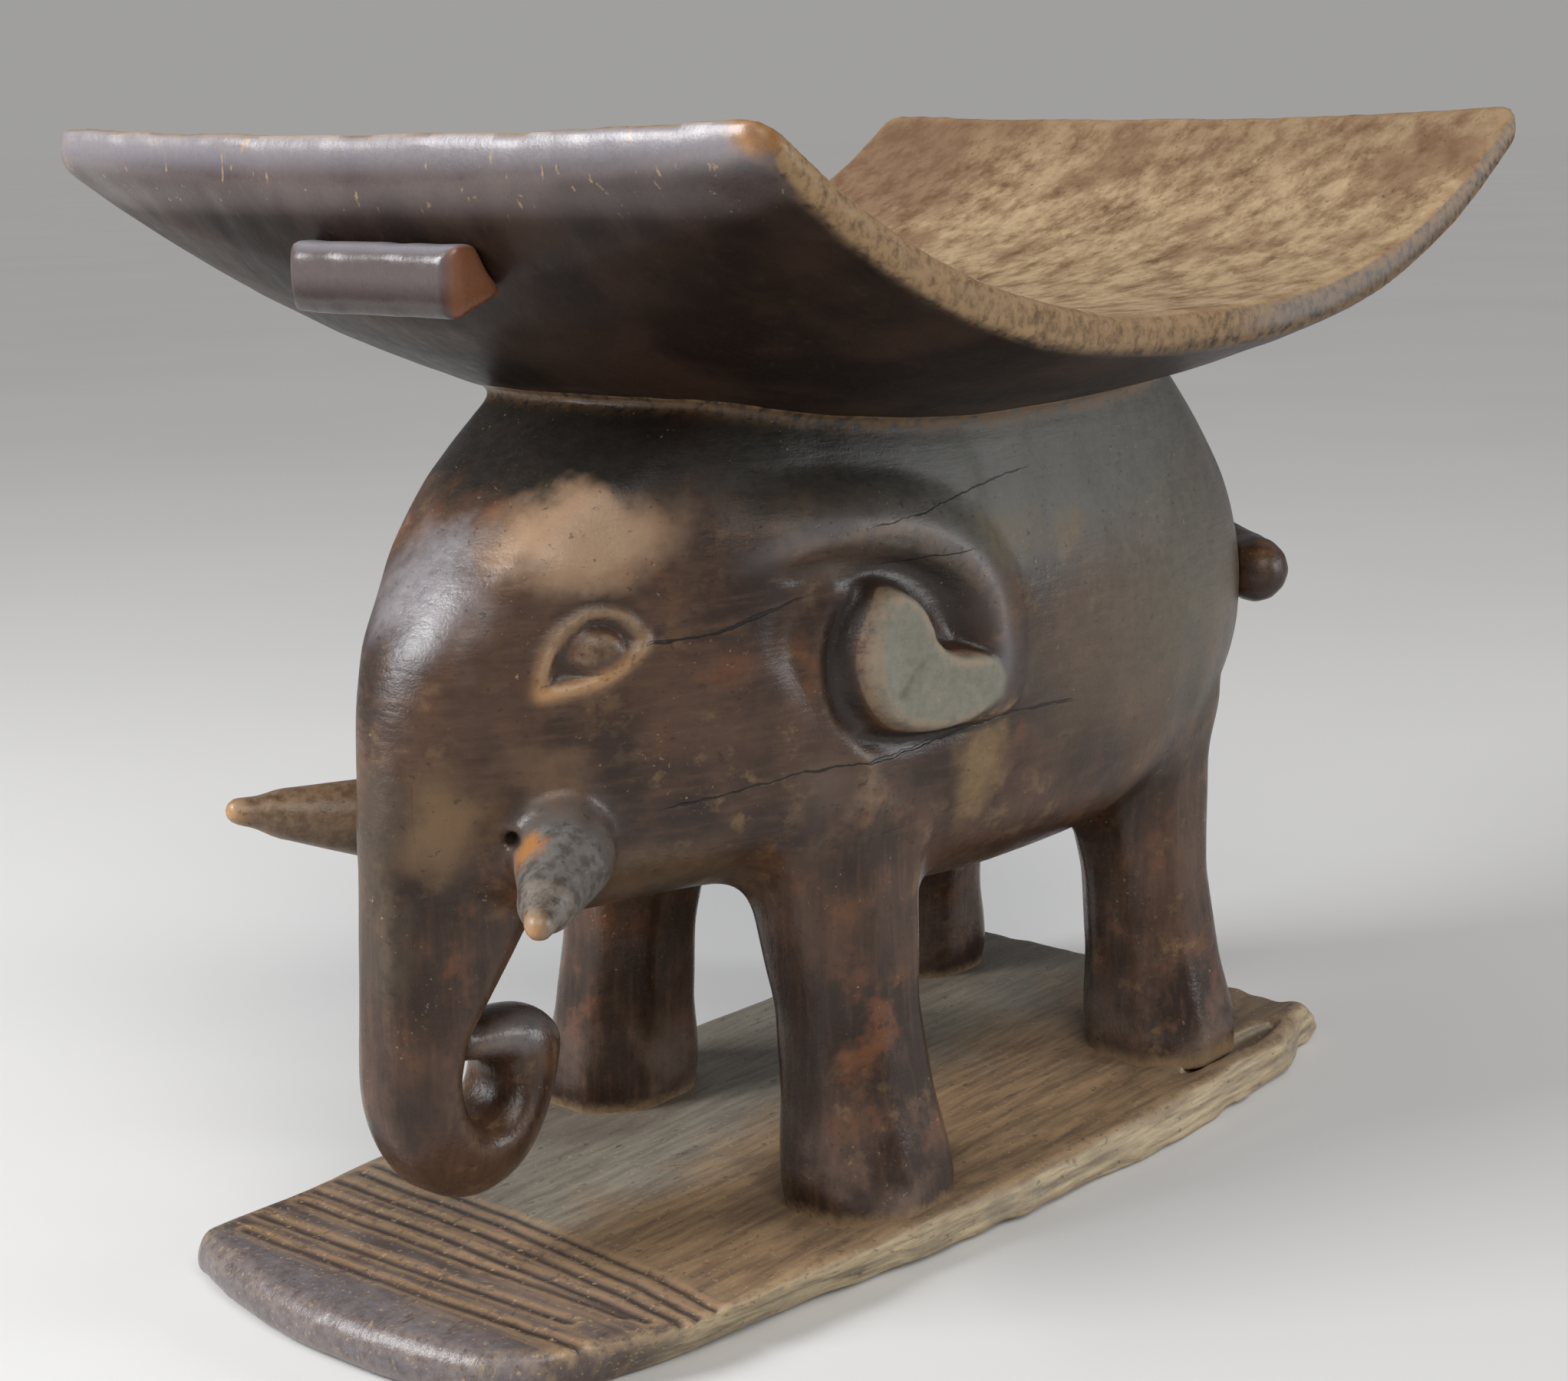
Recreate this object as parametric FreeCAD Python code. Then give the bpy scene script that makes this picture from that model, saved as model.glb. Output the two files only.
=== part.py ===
import FreeCAD, Part
import math
import os

from FreeCAD import Vector

# A carved wooden stool: a long saddle-shaped seat carried on the back of a standing elephant,
# which stands with four legs on a thin plank.
# X runs along the elephant, with its head toward -X.  Y runs across it, with its left flank at -Y.
# Z is up.  The origin lies under the middle of the whole stool, on the surface it stands on.
# Units are millimetres and degrees.

# Seat
seat_length = 500.0
seat_width = 338.0
seat_tip_height = 421.0          # top of the upturned ends, over the ground
seat_dip = 72.0                  # how far the middle of the seat lies under its ends
seat_dish = 4.0                  # hollow across the seat, from its edges to its centre line
seat_edge_thickness = 14.0       # height of the wood along the long edges
seat_rim_thickness = 22.0        # height of the wood at the middle of each end
seat_middle_thickness = 46.0     # height of the wood over the elephant's back
seat_corner_radius = 10.0
seat_centre_x = 18.0
seat_dip_power_share = 2.5       # how late the seat turns up toward its ends
seat_belly_power_share = 14.0    # how late the underside thins out toward its ends
seat_steps = 24                  # along the seat
seat_top_steps = 8               # across it
seat_bottom_steps = 16
seat_spare_share = 0.02          # the slab starts this much larger, before its plan is cut
seat_bottom_height = seat_tip_height - seat_dip - seat_dish - seat_middle_thickness

# Lugs under the two ends of the seat
lug_width = 80.0
lug_height = 24.0
lug_back_height = 15.0
lug_overhang = 2.0               # how far the lug stands out past the end of the seat
lug_reach = 26.0                 # from its face back into the underside
lug_drop = 41.0                  # from the tips of the seat down to the top of the lug
lug_chamfer = 4.0

# Plank
plank_front_x = -270.0
plank_rear_x = 216.0
plank_thickness = 19.0
plank_right_y = 99.0
plank_left_y = -126.0            # furthest point of the weathered side
plank_front_bow = 16.0           # how far the front edge bows out
plank_edge_wear = 5.0            # width and height worn off the front edges
plank_front_steps = 10

# The weathered left side of the plank, from the front corner to the rear one, on the ground and on top.
# Each corner is a share of the plank's length and of its width.
plank_left_ground_shares = (
    (0.049, 0.240), (0.118, 0.205), (0.173, 0.172), (0.293, 0.135), (0.392, 0.068),
    (0.507, 0.026), (0.661, 0.0), (0.791, 0.002), (0.920, 0.012), (1.045, 0.095),
)
plank_left_top_shares = (
    (0.049, 0.230), (0.094, 0.170), (0.148, 0.115), (0.253, 0.090), (0.372, 0.062),
    (0.502, 0.062), (0.641, 0.050), (0.781, 0.030), (0.900, 0.035), (1.0, 0.100),
)

# Legs, each eight-sided
leg_front_x = -60.0
leg_rear_x = 150.0
leg_skew = 11.0                  # the right legs stand this much further back, the left further forward
leg_spread = 76.0                # from the centre line to the middle of a foot
leg_foot_width = 71.0
leg_ankle_width = 58.0
leg_hip_width = 92.0
leg_ankle_height = 95.0
leg_top_height = 212.0
leg_lean = 26.0                  # how far the hip lies inside the foot
leg_tuck = 16.0                  # how far the rear right hip lies in front of its foot
leg_depth_share = 0.88           # how deep a leg is across the stool, of its width along it
leg_corner_share = 0.42          # length of a facet beside a corner, in half widths
leg_sole_share = 0.98            # the foot's width on the plank
leg_shin_share = 0.96            # hollow of the outline between foot and ankle
leg_thigh_share = 0.95           # hollow of the outline between ankle and hip
leg_heel_share = 0.05            # height of the foot's widest level

# Body
body_half_width = 107.0
body_belly_height = 119.0
body_into_seat = 39.0            # how far its form runs up past the seat's lowest point
body_top_height = seat_bottom_height + body_into_seat
body_centre_x = 45.0
body_front_reach = 190.0
body_rear_reach = 191.0
body_roundness_share = 2.5       # two is an ellipse, more is squarer
body_sides = 32
body_finer_steps = 2             # levels between two rows of the table

# Height between belly and back, then half width, reach forward and reach back at that height
body_level_shares = (
    (0.0, 0.40, 0.42, 0.30),
    (0.03, 0.62, 0.58, 0.47),
    (0.08, 0.79, 0.71, 0.63),
    (0.15, 0.91, 0.84, 0.80),
    (0.24, 0.97, 0.95, 0.92),
    (0.37, 1.0, 1.0, 1.0),
    (0.53, 0.99, 1.0, 1.0),
    (0.66, 0.955, 0.97, 0.93),
    (0.77, 0.90, 0.92, 0.84),
    (0.87, 0.85, 0.84, 0.72),
    (1.0, 0.77, 0.75, 0.59),
)

# Head
head_back_x = -25.0
head_jaw_height = 141.0
head_into_seat = 35.0
head_top_height = seat_bottom_height + head_into_seat
neck_x = -113.0                  # where head and body meet
head_bow_share = 0.28            # bow of the face, in half widths of it
head_side_power_share = 1.9      # how fast the head widens behind the brow
head_side_steps = 9
head_front_steps = 6
head_finer_steps = 2

# Height between jaw and crown, then place of the front corner between trunk and back of the head,
# its half width and the half width at the back of the head as shares of the body's
head_level_shares = (
    (0.0, 0.30, 0.10, 0.40),
    (0.04, 0.20, 0.12, 0.60),
    (0.10, 0.09, 0.12, 0.78),
    (0.18, 0.035, 0.10, 0.89),
    (0.34, 0.05, 0.14, 0.95),
    (0.54, 0.105, 0.21, 0.955),
    (0.74, 0.265, 0.35, 0.89),
    (0.86, 0.43, 0.47, 0.82),
    (1.0, 0.66, 0.60, 0.72),
)

# Trunk
trunk_top_height = 190.0         # the trunk's form runs up inside the head to here
throat_x = -184.0                # where the trunk leaves the jaw, behind
throat_height = 131.0
trunk_split_height = 178.0       # where head and trunk meet, in front
trunk_front_x = -248.0
trunk_lean = 4.0                 # how far the top of its front lies behind the curl's
trunk_width = 40.0
trunk_depth = 29.0               # from front to back, where the curl begins
curl_end_width = 36.0            # behind, where the curl has turned half round
curl_end_depth = 28.0
curl_centre_height = 95.0
curl_half_length = 27.5
curl_half_height = 36.0
curl_steps = 16
curl_tip_rise = 15.0             # the tip's top over the curl's middle
curl_tip_sides = 12
trunk_finer_steps = 3

# Height over the curl's middle, then depth and width
trunk_shaft_shares = (
    (1.0, 3.3, 1.20),
    (0.66, 2.65, 1.13),
    (0.36, 1.75, 1.07),
    (0.15, 1.16, 1.03),
)

# The curled tip from behind forward to the middle of the shaft: place, under side and top in tip rises,
# half width as a share of the trunk's
curl_tip_shares = (
    (0.005, -0.35, 0.15, 0.50),
    (0.06, -0.60, 0.55, 0.72),
    (0.18, -0.60, 0.87, 0.80),
    (0.36, -0.45, 1.0, 0.76),
    (0.50, -0.20, 1.0, 0.66),
    (0.65, 0.0, 0.95, 0.56),
    (0.83, 0.10, 0.87, 0.46),
    (1.0, 0.15, 0.80, 0.40),
)

# Half of a slice of the trunk, from the facet in front round to its back, in depths and half widths
trunk_outline_shares = ((0.5, 0.35), (0.33, 0.68), (0.06, 0.90), (-0.22, 1.0), (-0.42, 0.77), (-0.5, 0.35))

# Tusks
tusk_root_x = -203.0
tusk_root_y = 49.0
tusk_root_height = 174.0
tusk_length = 50.0
tusk_root_diameter = 24.0
tusk_tip_diameter = 10.0
tusk_tenon_diameter = 15.0
tusk_tenon_length = 16.0
tusk_splay = 35.0                # outward from straight ahead
left_tusk_droop = 10.0           # downward from level
right_tusk_droop = -8.0
tusk_clearance = 0.3             # round the tenon and past its end

tusk_sides = 16

# The tip's outline, as shares of its radius: along the tusk and out from its axis
tusk_tip_shares = ((0.0, 1.0), (0.5, 0.87), (0.87, 0.5), (1.0, 0.2))

# Ears
ear_centre_x = -72.0
ear_level_share = 0.5434         # height of its middle, from belly to back
ear_height = body_belly_height + (body_top_height - body_belly_height) * ear_level_share
ear_length = 140.0
ear_depth = 88.0
ear_relief = 12.0
ear_hollow_floor = 4.0           # wood left over the flank under the ear's hollow
ear_groove_depth = 6.0           # groove dug into the flank in front of the lobe
ear_finer_steps = 3

# The ear's outline, its hollow and the groove in front of it, as shares of its length and depth
ear_outline_shares = (
    (-0.50, 0.42), (-0.45, 0.48), (-0.28, 0.49), (-0.10, 0.46), (0.07, 0.37), (0.21, 0.26), (0.34, 0.09),
    (0.44, -0.09), (0.50, -0.29), (0.48, -0.42), (0.29, -0.49), (0.05, -0.48), (-0.12, -0.43),
    (-0.226, -0.33), (-0.276, -0.206), (-0.296, -0.075), (-0.295, 0.039), (-0.268, 0.15), (-0.23, 0.22),
    (-0.29, 0.29), (-0.40, 0.34),
)
ear_hollow_shares = (
    (-0.185, 0.235), (-0.10, 0.27), (0.03, 0.245), (0.143, 0.17), (0.216, 0.055), (0.24, -0.077),
    (0.20, -0.141), (0.116, -0.108), (0.032, -0.088), (-0.013, -0.018), (-0.035, 0.10), (-0.10, 0.19),
)
ear_groove_shares = (
    (-0.222, 0.22), (-0.307, 0.177), (-0.364, 0.098), (-0.379, 0.007), (-0.349, -0.12), (-0.285, -0.27),
    (-0.20, -0.39), (-0.10, -0.46), (-0.11, -0.42), (-0.215, -0.33), (-0.265, -0.206), (-0.285, -0.075),
    (-0.284, 0.039), (-0.257, 0.15),
)

# Eyes
eye_x = -184.0
eye_level_share = 0.5337         # from jaw to crown
eye_height = head_jaw_height + (head_top_height - head_jaw_height) * eye_level_share
eye_length = 39.0
eye_depth = 24.0
eye_relief = 5.0
eye_floor = 2.0                  # wood left over the face between lids and eyeball
eye_tilt = 22.0                  # the rear corner up
eye_ball_diameter = 18.0
eye_sides = 20
eye_moat_share = 0.8             # size of the hollow between the lids, of the whole eye

# Tail
tail_root_x = 230.0
tail_root_level_share = 0.6621   # from belly to back
tail_root_height = body_belly_height + (body_top_height - body_belly_height) * tail_root_level_share
tail_root_radius = 9.0
tail_tip_radius = 15.0
tail_bow = 14.0                  # how far the tail stands out behind its root
tail_tip_x = 213.0
tail_tip_y = -76.0
tail_tip_height = 217.0
tail_steps = 6
tail_drop_share = 0.15           # how far across it is where it has come down
tail_swing_share = 0.7           # how far across it is where it turns back to the flank
tail_end_turns = (30.0, 60.0, 80.0)
tail_sides = 12

# Cuts and splits run this far past the wood
overrun = 60.0

# Four corners this near to one plane make one facet
flat_enough = 0.000001


def closed_polygon(points):
    return Part.makePolygon(points + points[:1])


# A row between the rows of a table, on a smooth curve through them.
def smooth_row(before, first, second, after, part):
    row = []
    for a, b, c, d in zip(before, first, second, after):
        bend = 2 * a - 5 * b + 4 * c - d + part * (3 * b - a - 3 * c + d)
        row.append(b + part / 2 * (c - a + part * bend))
    return row


# The table with rows added between its own.
def smooth_table(rows, finer):
    padded = [rows[0]] + list(rows) + [rows[-1]]
    table = []
    for four in zip(padded, padded[1:], padded[2:], padded[3:]):
        table += [smooth_row(*four, step / finer) for step in range(finer)]
    return table + [rows[-1]]


# The same for an outline that closes on itself.
def smooth_loop(corners, finer):
    count = len(corners)
    loop = []
    for index in range(count):
        four = [corners[(index + step) % count] for step in (-1, 0, 1, 2)]
        loop += [smooth_row(*four, step / finer) for step in range(finer)]
    return loop


# A flat facet, or two where the four corners don't lie in one plane.
def facet(a, b, c, d):
    across = (b - a).cross(c - a)
    if across.Length and abs(across.dot(d - a)) / across.Length < flat_enough:
        return [Part.Face(closed_polygon([a, b, c, d]))]
    return [Part.Face(closed_polygon([a, b, c])), Part.Face(closed_polygon([a, c, d]))]


# A solid with flat facets between outlines that have equally many corners.
def faceted_solid(outlines):
    faces = [Part.Face(closed_polygon(outlines[0])), Part.Face(closed_polygon(outlines[-1]))]
    for low, high in zip(outlines, outlines[1:]):
        for a, b, c, d in zip(low, low[1:] + low[:1], high[1:] + high[:1], high):
            faces += facet(a, b, c, d)
    return Part.makeSolid(Part.Shell(faces))


def prism(points, along):
    return Part.Face(closed_polygon(points)).extrude(along)


def largest(shape):
    return max(shape.Solids, key=lambda solid: solid.Volume)


# Heights of the seat at shares of its half length and half width, measured from its middle.
def seat_top(along_share, across_share):
    edge = seat_tip_height - seat_dip + seat_dip * abs(along_share) ** seat_dip_power_share
    return edge - seat_dish * (1 - across_share ** 2)


def seat_thickness(along_share, across_share):
    late = 1 - abs(along_share) ** seat_belly_power_share
    middle = seat_rim_thickness + (seat_middle_thickness - seat_rim_thickness) * late
    return seat_edge_thickness + (middle - seat_edge_thickness) * (1 - across_share ** 2)


def across_shares(steps):
    return [(1 + seat_spare_share) * (2 * step / steps - 1) for step in range(steps + 1)]


def seat_outline(along_share):
    x = seat_centre_x + along_share * seat_length / 2
    points = []
    for share in across_shares(seat_top_steps):
        points.append(Vector(x, share * seat_width / 2, seat_top(along_share, share)))
    for share in across_shares(seat_bottom_steps)[::-1]:
        height = seat_top(along_share, share) - seat_thickness(along_share, share)
        points.append(Vector(x, share * seat_width / 2, height))
    return points


# The seat seen from above: a rectangle with rounded corners.
def seat_plan():
    size = (seat_length, seat_width, seat_tip_height)
    block = Part.makeBox(*size, Vector(seat_centre_x - seat_length / 2, -seat_width / 2, 0))
    upright = [edge for edge in block.Edges if edge.BoundBox.ZLength > seat_tip_height / 2]
    return block.makeFillet(seat_corner_radius, upright)


def make_seat():
    stations = [(1 + seat_spare_share) * (2 * step / seat_steps - 1) for step in range(seat_steps + 1)]
    slab = faceted_solid([seat_outline(share) for share in stations])
    return slab.common(seat_plan())


# A wedge under one end of the seat: end is -1 in front and 1 behind.
def make_lug(end):
    face = seat_centre_x + end * (seat_length / 2 + lug_overhang)
    back = face - end * lug_reach
    worn = face - end * lug_chamfer
    top = seat_tip_height - lug_drop
    bottom = top - lug_height
    half = lug_width / 2
    profile = [
        Vector(worn, -half, bottom),
        Vector(face, -half, bottom + lug_chamfer),
        Vector(face, -half, top - lug_chamfer),
        Vector(worn, -half, top),
        Vector(back, -half, top),
        Vector(back, -half, top - lug_back_height),
    ]
    plan = [
        Vector(back, -half, bottom),
        Vector(worn, -half, bottom),
        Vector(face, lug_chamfer - half, bottom),
        Vector(face, half - lug_chamfer, bottom),
        Vector(worn, half, bottom),
        Vector(back, half, bottom),
    ]
    return prism(profile, Vector(0, lug_width, 0)).common(prism(plan, Vector(0, 0, lug_height)))


# The plank's outline at one height.  The wear sets its front edge back, and the lift is 0 on the ground
# and 1 on top.
def plank_outline(height, wear, lift):
    length = plank_rear_x - plank_front_x
    width = plank_right_y - plank_left_y
    left = []
    for ground, top in zip(plank_left_ground_shares, plank_left_top_shares):
        along = ground[0] + (top[0] - ground[0]) * lift
        across = ground[1] + (top[1] - ground[1]) * lift
        left.append(Vector(plank_front_x + length * along, plank_left_y + width * across, height))
    left[0].x += wear
    front = []
    for step in range(plank_front_steps):
        share = step / plank_front_steps
        bow = plank_front_bow * (1 - 4 * share * (1 - share))
        across = plank_right_y + (left[0].y - plank_right_y) * share
        front.append(Vector(plank_front_x + wear + bow, across, height))
    return front + left + [Vector(plank_rear_x, plank_right_y, height)]


def make_plank():
    rise = plank_edge_wear / plank_thickness
    levels = ((0.0, plank_edge_wear), (rise, 0.0), (1 - rise, 0.0), (1.0, plank_edge_wear))
    return faceted_solid([plank_outline(plank_thickness * lift, wear, lift) for lift, wear in levels])


def leg_section(x, y, height, width):
    half = width / 2
    short = half * leg_corner_share
    corners = [(half, short), (short, half), (-short, half), (-half, short),
               (-half, -short), (-short, -half), (short, -half), (half, -short)]
    return [Vector(x + along, y + across * leg_depth_share, height) for along, across in corners]


# Each level of a leg has its height, as a share of the rise from foot to hip, and its width.
# The shift is how far along X the hip lies from the foot.
def make_leg(x, side, shift):
    rise = leg_top_height - plank_thickness
    ankle = (leg_ankle_height - plank_thickness) / rise
    levels = (
        (0.0, leg_foot_width * leg_sole_share),
        (leg_heel_share, leg_foot_width),
        (ankle / 2, (leg_foot_width + leg_ankle_width) / 2 * leg_shin_share),
        (ankle, leg_ankle_width),
        ((1 + ankle) / 2, (leg_hip_width + leg_ankle_width) / 2 * leg_thigh_share),
        (1.0, leg_hip_width),
    )
    sections = []
    for share, width in levels:
        y = side * (leg_spread - leg_lean * share)
        sections.append(leg_section(x + shift * share, y, plank_thickness + rise * share, width))
    return faceted_solid(sections)


# The body's outline at one height: a rounded lozenge, fuller toward the front, where it runs into the head.
def body_outline(height, width_share, front_share, rear_share):
    half = body_half_width * width_share
    points = []
    for step in range(body_sides):
        angle = 2 * math.pi * step / body_sides
        along = abs(math.cos(angle)) ** (2 / body_roundness_share)
        across = abs(math.sin(angle)) ** (2 / body_roundness_share)
        reach = body_rear_reach * rear_share if math.cos(angle) > 0 else -body_front_reach * front_share
        side = 1 if math.sin(angle) > 0 else -1
        points.append(Vector(body_centre_x + reach * along, side * half * across, height))
    return points


def make_body_form():
    rise = body_top_height - body_belly_height
    sections = []
    table = smooth_table(body_level_shares, body_finer_steps)
    for height_share, width_share, front_share, rear_share in table:
        height = body_belly_height + rise * height_share
        sections.append(body_outline(height, width_share, front_share, rear_share))
    return faceted_solid(sections)


# The head's outline at one height: a bowed front, then two sides that widen toward the shoulders.
def head_outline(height, corner_x, corner_y, back_y):
    points = []
    for step in range(head_side_steps, -1, -1):
        share = step / head_side_steps
        points.append(head_side_point(height, corner_x, -corner_y, -back_y, share))
    for step in range(1, head_front_steps):
        share = 2 * step / head_front_steps - 1
        bow = corner_y * head_bow_share * (1 - share ** 2)
        points.append(Vector(corner_x - bow, corner_y * share, height))
    for step in range(head_side_steps + 1):
        share = step / head_side_steps
        points.append(head_side_point(height, corner_x, corner_y, back_y, share))
    return points


def head_side_point(height, corner_x, corner_y, back_y, share):
    grown = 1 - (1 - share) ** head_side_power_share
    x = corner_x + (head_back_x - corner_x) * share
    return Vector(x, corner_y + (back_y - corner_y) * grown, height)


def make_head_form():
    rise = head_top_height - head_jaw_height
    reach = head_back_x - trunk_front_x
    sections = []
    table = smooth_table(head_level_shares, head_finer_steps)
    for height_share, corner_share, front_share, back_share in table:
        height = head_jaw_height + rise * height_share
        corner_x = trunk_front_x + reach * corner_share
        front = body_half_width * front_share
        sections.append(head_outline(height, corner_x, front, body_half_width * back_share))
    return faceted_solid(sections)


# A slice across the trunk: narrow in front, widest behind its middle.
def trunk_section(centre, forward, depth, width):
    half = width / 2
    right = []
    left = []
    for along, across in trunk_outline_shares:
        middle = centre + forward * (depth * along)
        right.append(middle + Vector(0, half * across, 0))
        left.append(middle - Vector(0, half * across, 0))
    return right + left[::-1]


# The curl's middle line is half an ellipse.  It starts in front, where it leaves the straight trunk.
def curl_slice(share):
    angle = math.pi * (1 + share)
    middle_x = trunk_front_x + trunk_depth / 2 + curl_half_length
    centre = Vector(
        middle_x + curl_half_length * math.cos(angle),
        0,
        curl_centre_height + curl_half_height * math.sin(angle),
    )
    outward = Vector(math.cos(angle) * curl_half_height, 0, math.sin(angle) * curl_half_length)
    outward.normalize()
    depth = trunk_depth + (curl_end_depth - trunk_depth) * share
    width = trunk_width + (curl_end_width - trunk_width) * share
    return trunk_section(centre, outward, depth, width)


# The tip lies over the curl and closes it against the shaft that it started from.
def make_curl_tip():
    shaft_x = trunk_front_x + trunk_depth / 2
    back_x = shaft_x + 2 * curl_half_length + curl_end_depth / 2
    sections = []
    for place, under, top, width_share in smooth_table(curl_tip_shares, trunk_finer_steps):
        x = back_x + (shaft_x - back_x) * place
        middle_height = curl_centre_height + curl_tip_rise * (under + top) / 2
        half_height = curl_tip_rise * (top - under) / 2
        half_width = trunk_width / 2 * width_share
        section = []
        for step in range(curl_tip_sides):
            turn = 2 * math.pi * step / curl_tip_sides
            z = middle_height + half_height * math.sin(turn)
            section.append(Vector(x, half_width * math.cos(turn), z))
        sections.append(section)
    return faceted_solid(sections)


def make_trunk_form():
    rise = trunk_top_height - curl_centre_height
    sections = []
    for share, depth_share, width_share in smooth_table(trunk_shaft_shares, trunk_finer_steps):
        depth = trunk_depth * depth_share
        front = trunk_front_x + trunk_lean * share
        centre = Vector(front + depth / 2, 0, curl_centre_height + rise * share)
        sections.append(trunk_section(centre, Vector(-1, 0, 0), depth, trunk_width * width_share))
    sections += [curl_slice(step / curl_steps) for step in range(curl_steps + 1)]
    return faceted_solid(sections).fuse(make_curl_tip())


def place_tusk(shape, side):
    forward = FreeCAD.Rotation(Vector(1, 0, 0), Vector(-1, 0, 0))
    droop = FreeCAD.Rotation(Vector(0, 1, 0), -(left_tusk_droop if side < 0 else right_tusk_droop))
    splay = FreeCAD.Rotation(Vector(0, 0, 1), -side * tusk_splay)
    root = Vector(tusk_root_x, side * tusk_root_y, tusk_root_height)
    shape.Placement = FreeCAD.Placement(root, splay * droop * forward)
    return shape


# A many-sided ring round a line, at one place along it.
def ring(centre, ahead, radius, sides):
    across = ahead.cross(Vector(0, 0, 1))
    across.normalize()
    up = across.cross(ahead)
    points = []
    for step in range(sides):
        turn = 2 * math.pi * step / sides
        points.append(centre + across * (radius * math.cos(turn)) + up * (radius * math.sin(turn)))
    return points


# The tusk lies along its own length, and starts inside the head.
def tusk_cone():
    root = tusk_root_diameter / 2
    tip = tusk_tip_diameter / 2
    stations = [(-tusk_root_diameter, root), (0, root)]
    stations += [(tusk_length - tip + tip * along, tip * across) for along, across in tusk_tip_shares]
    ahead = Vector(1, 0, 0)
    return faceted_solid([ring(ahead * along, ahead, radius, tusk_sides) for along, radius in stations])


def tusk_tenon(clearance):
    radius = tusk_tenon_diameter / 2 + clearance
    length = tusk_tenon_length + clearance
    inner_end = Vector(-length, 0, 0)
    return Part.makeCylinder(radius, length + tusk_root_diameter / 2, inner_end, Vector(1, 0, 0))


def make_tusk(head, side):
    cone = largest(place_tusk(tusk_cone(), side).cut(head))
    return cone.fuse(place_tusk(tusk_tenon(0), side)).removeSplitter()


# A straight-sided plug through one flank, with the given outline seen from the side.
def ear_plug(shares, side):
    centre = Vector(ear_centre_x, 0, ear_height)
    loop = smooth_loop(shares, ear_finer_steps)
    points = [centre + Vector(ear_length * along, 0, ear_depth * up) for along, up in loop]
    return prism(points, Vector(0, side * (body_half_width + overrun), 0))


def shifted(shape, outward):
    moved = shape.copy()
    moved.translate(Vector(0, outward, 0))
    return moved


def make_ear(carcass, side):
    plate = ear_plug(ear_outline_shares, side).common(shifted(carcass, side * ear_relief)).cut(carcass)
    hollow = ear_plug(ear_hollow_shares, side).cut(shifted(carcass, side * ear_hollow_floor))
    return plate.cut(hollow)


def make_ear_groove(carcass, side):
    return ear_plug(ear_groove_shares, side).cut(shifted(carcass, -side * ear_groove_depth))


# An almond, pointed at its two ends.
def eye_plug(size_share, side):
    tilt = math.radians(eye_tilt)
    points = []
    for step in range(eye_sides):
        turn = 2 * math.pi * step / eye_sides
        along = eye_length / 2 * size_share * math.cos(turn)
        up = eye_depth / 2 * size_share * math.sin(turn) * abs(math.sin(turn))
        points.append(Vector(
            eye_x + along * math.cos(tilt) - up * math.sin(tilt),
            0,
            eye_height + along * math.sin(tilt) + up * math.cos(tilt),
        ))
    return prism(points, Vector(0, side * (body_half_width + overrun), 0))


def eye_ball(side):
    outline = ring(Vector(eye_x, 0, eye_height), Vector(0, 1, 0), eye_ball_diameter / 2, eye_sides)
    return prism(outline, Vector(0, side * (body_half_width + overrun), 0))


def make_eye(head, side):
    lids = eye_plug(1, side).common(shifted(head, side * eye_relief)).cut(head)
    moat = eye_plug(eye_moat_share, side).cut(eye_ball(side)).cut(shifted(head, side * eye_floor))
    return lids.cut(moat)


# The tail's middle line: down behind the rump, then across to the left flank.
def tail_point(share):
    root = Vector(tail_root_x, 0, tail_root_height)
    tip = Vector(tail_tip_x, tail_tip_y, tail_tip_height)
    below = Vector(tail_root_x + tail_bow, tail_tip_y * tail_drop_share, tail_tip_height + tail_root_radius)
    beside = Vector(tail_root_x + tail_bow, tail_tip_y * tail_swing_share, tail_tip_height)
    rest = 1 - share
    first_half = root * rest ** 3 + below * (3 * rest ** 2 * share)
    return first_half + beside * (3 * rest * share ** 2) + tip * share ** 3


def tail_section(share, radius, beyond):
    ahead = tail_point(share + 1 / tail_steps) - tail_point(share - 1 / tail_steps)
    ahead.normalize()
    return ring(tail_point(share) + ahead * beyond, ahead, radius, tail_sides)


def make_tail(body):
    sections = []
    for step in range(tail_steps + 1):
        share = step / tail_steps
        radius = tail_root_radius + (tail_tip_radius - tail_root_radius) * share
        sections.append(tail_section(share, radius, 0))
    for turn in tail_end_turns:
        radius = tail_tip_radius * math.cos(math.radians(turn))
        sections.append(tail_section(1, radius, tail_tip_radius * math.sin(math.radians(turn))))
    return largest(faceted_solid(sections).cut(body))


# Everything past the right edge of the plank, where the right feet are dressed flush with it.
def beyond_plank():
    length = seat_length + overrun
    return Part.makeBox(length, overrun, leg_top_height, Vector(-length / 2, plank_right_y, 0))


# Everything in front of the neck.
def front_of_neck():
    size = seat_length + overrun
    return Part.makeBox(size, size, size, Vector(neck_x - size, -size / 2, 0))


# Everything under the slanting line between the throat and the front of the trunk.
def under_throat():
    slope = (throat_height - trunk_split_height) / (throat_x - trunk_front_x)
    front = trunk_front_x - overrun
    wide = body_half_width + overrun
    outline = [
        Vector(front, -wide, 0),
        Vector(front, -wide, trunk_split_height + slope * (front - trunk_front_x)),
        Vector(neck_x, -wide, trunk_split_height + slope * (neck_x - trunk_front_x)),
        Vector(neck_x, -wide, 0),
    ]
    return prism(outline, Vector(0, 2 * wide, 0))


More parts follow.
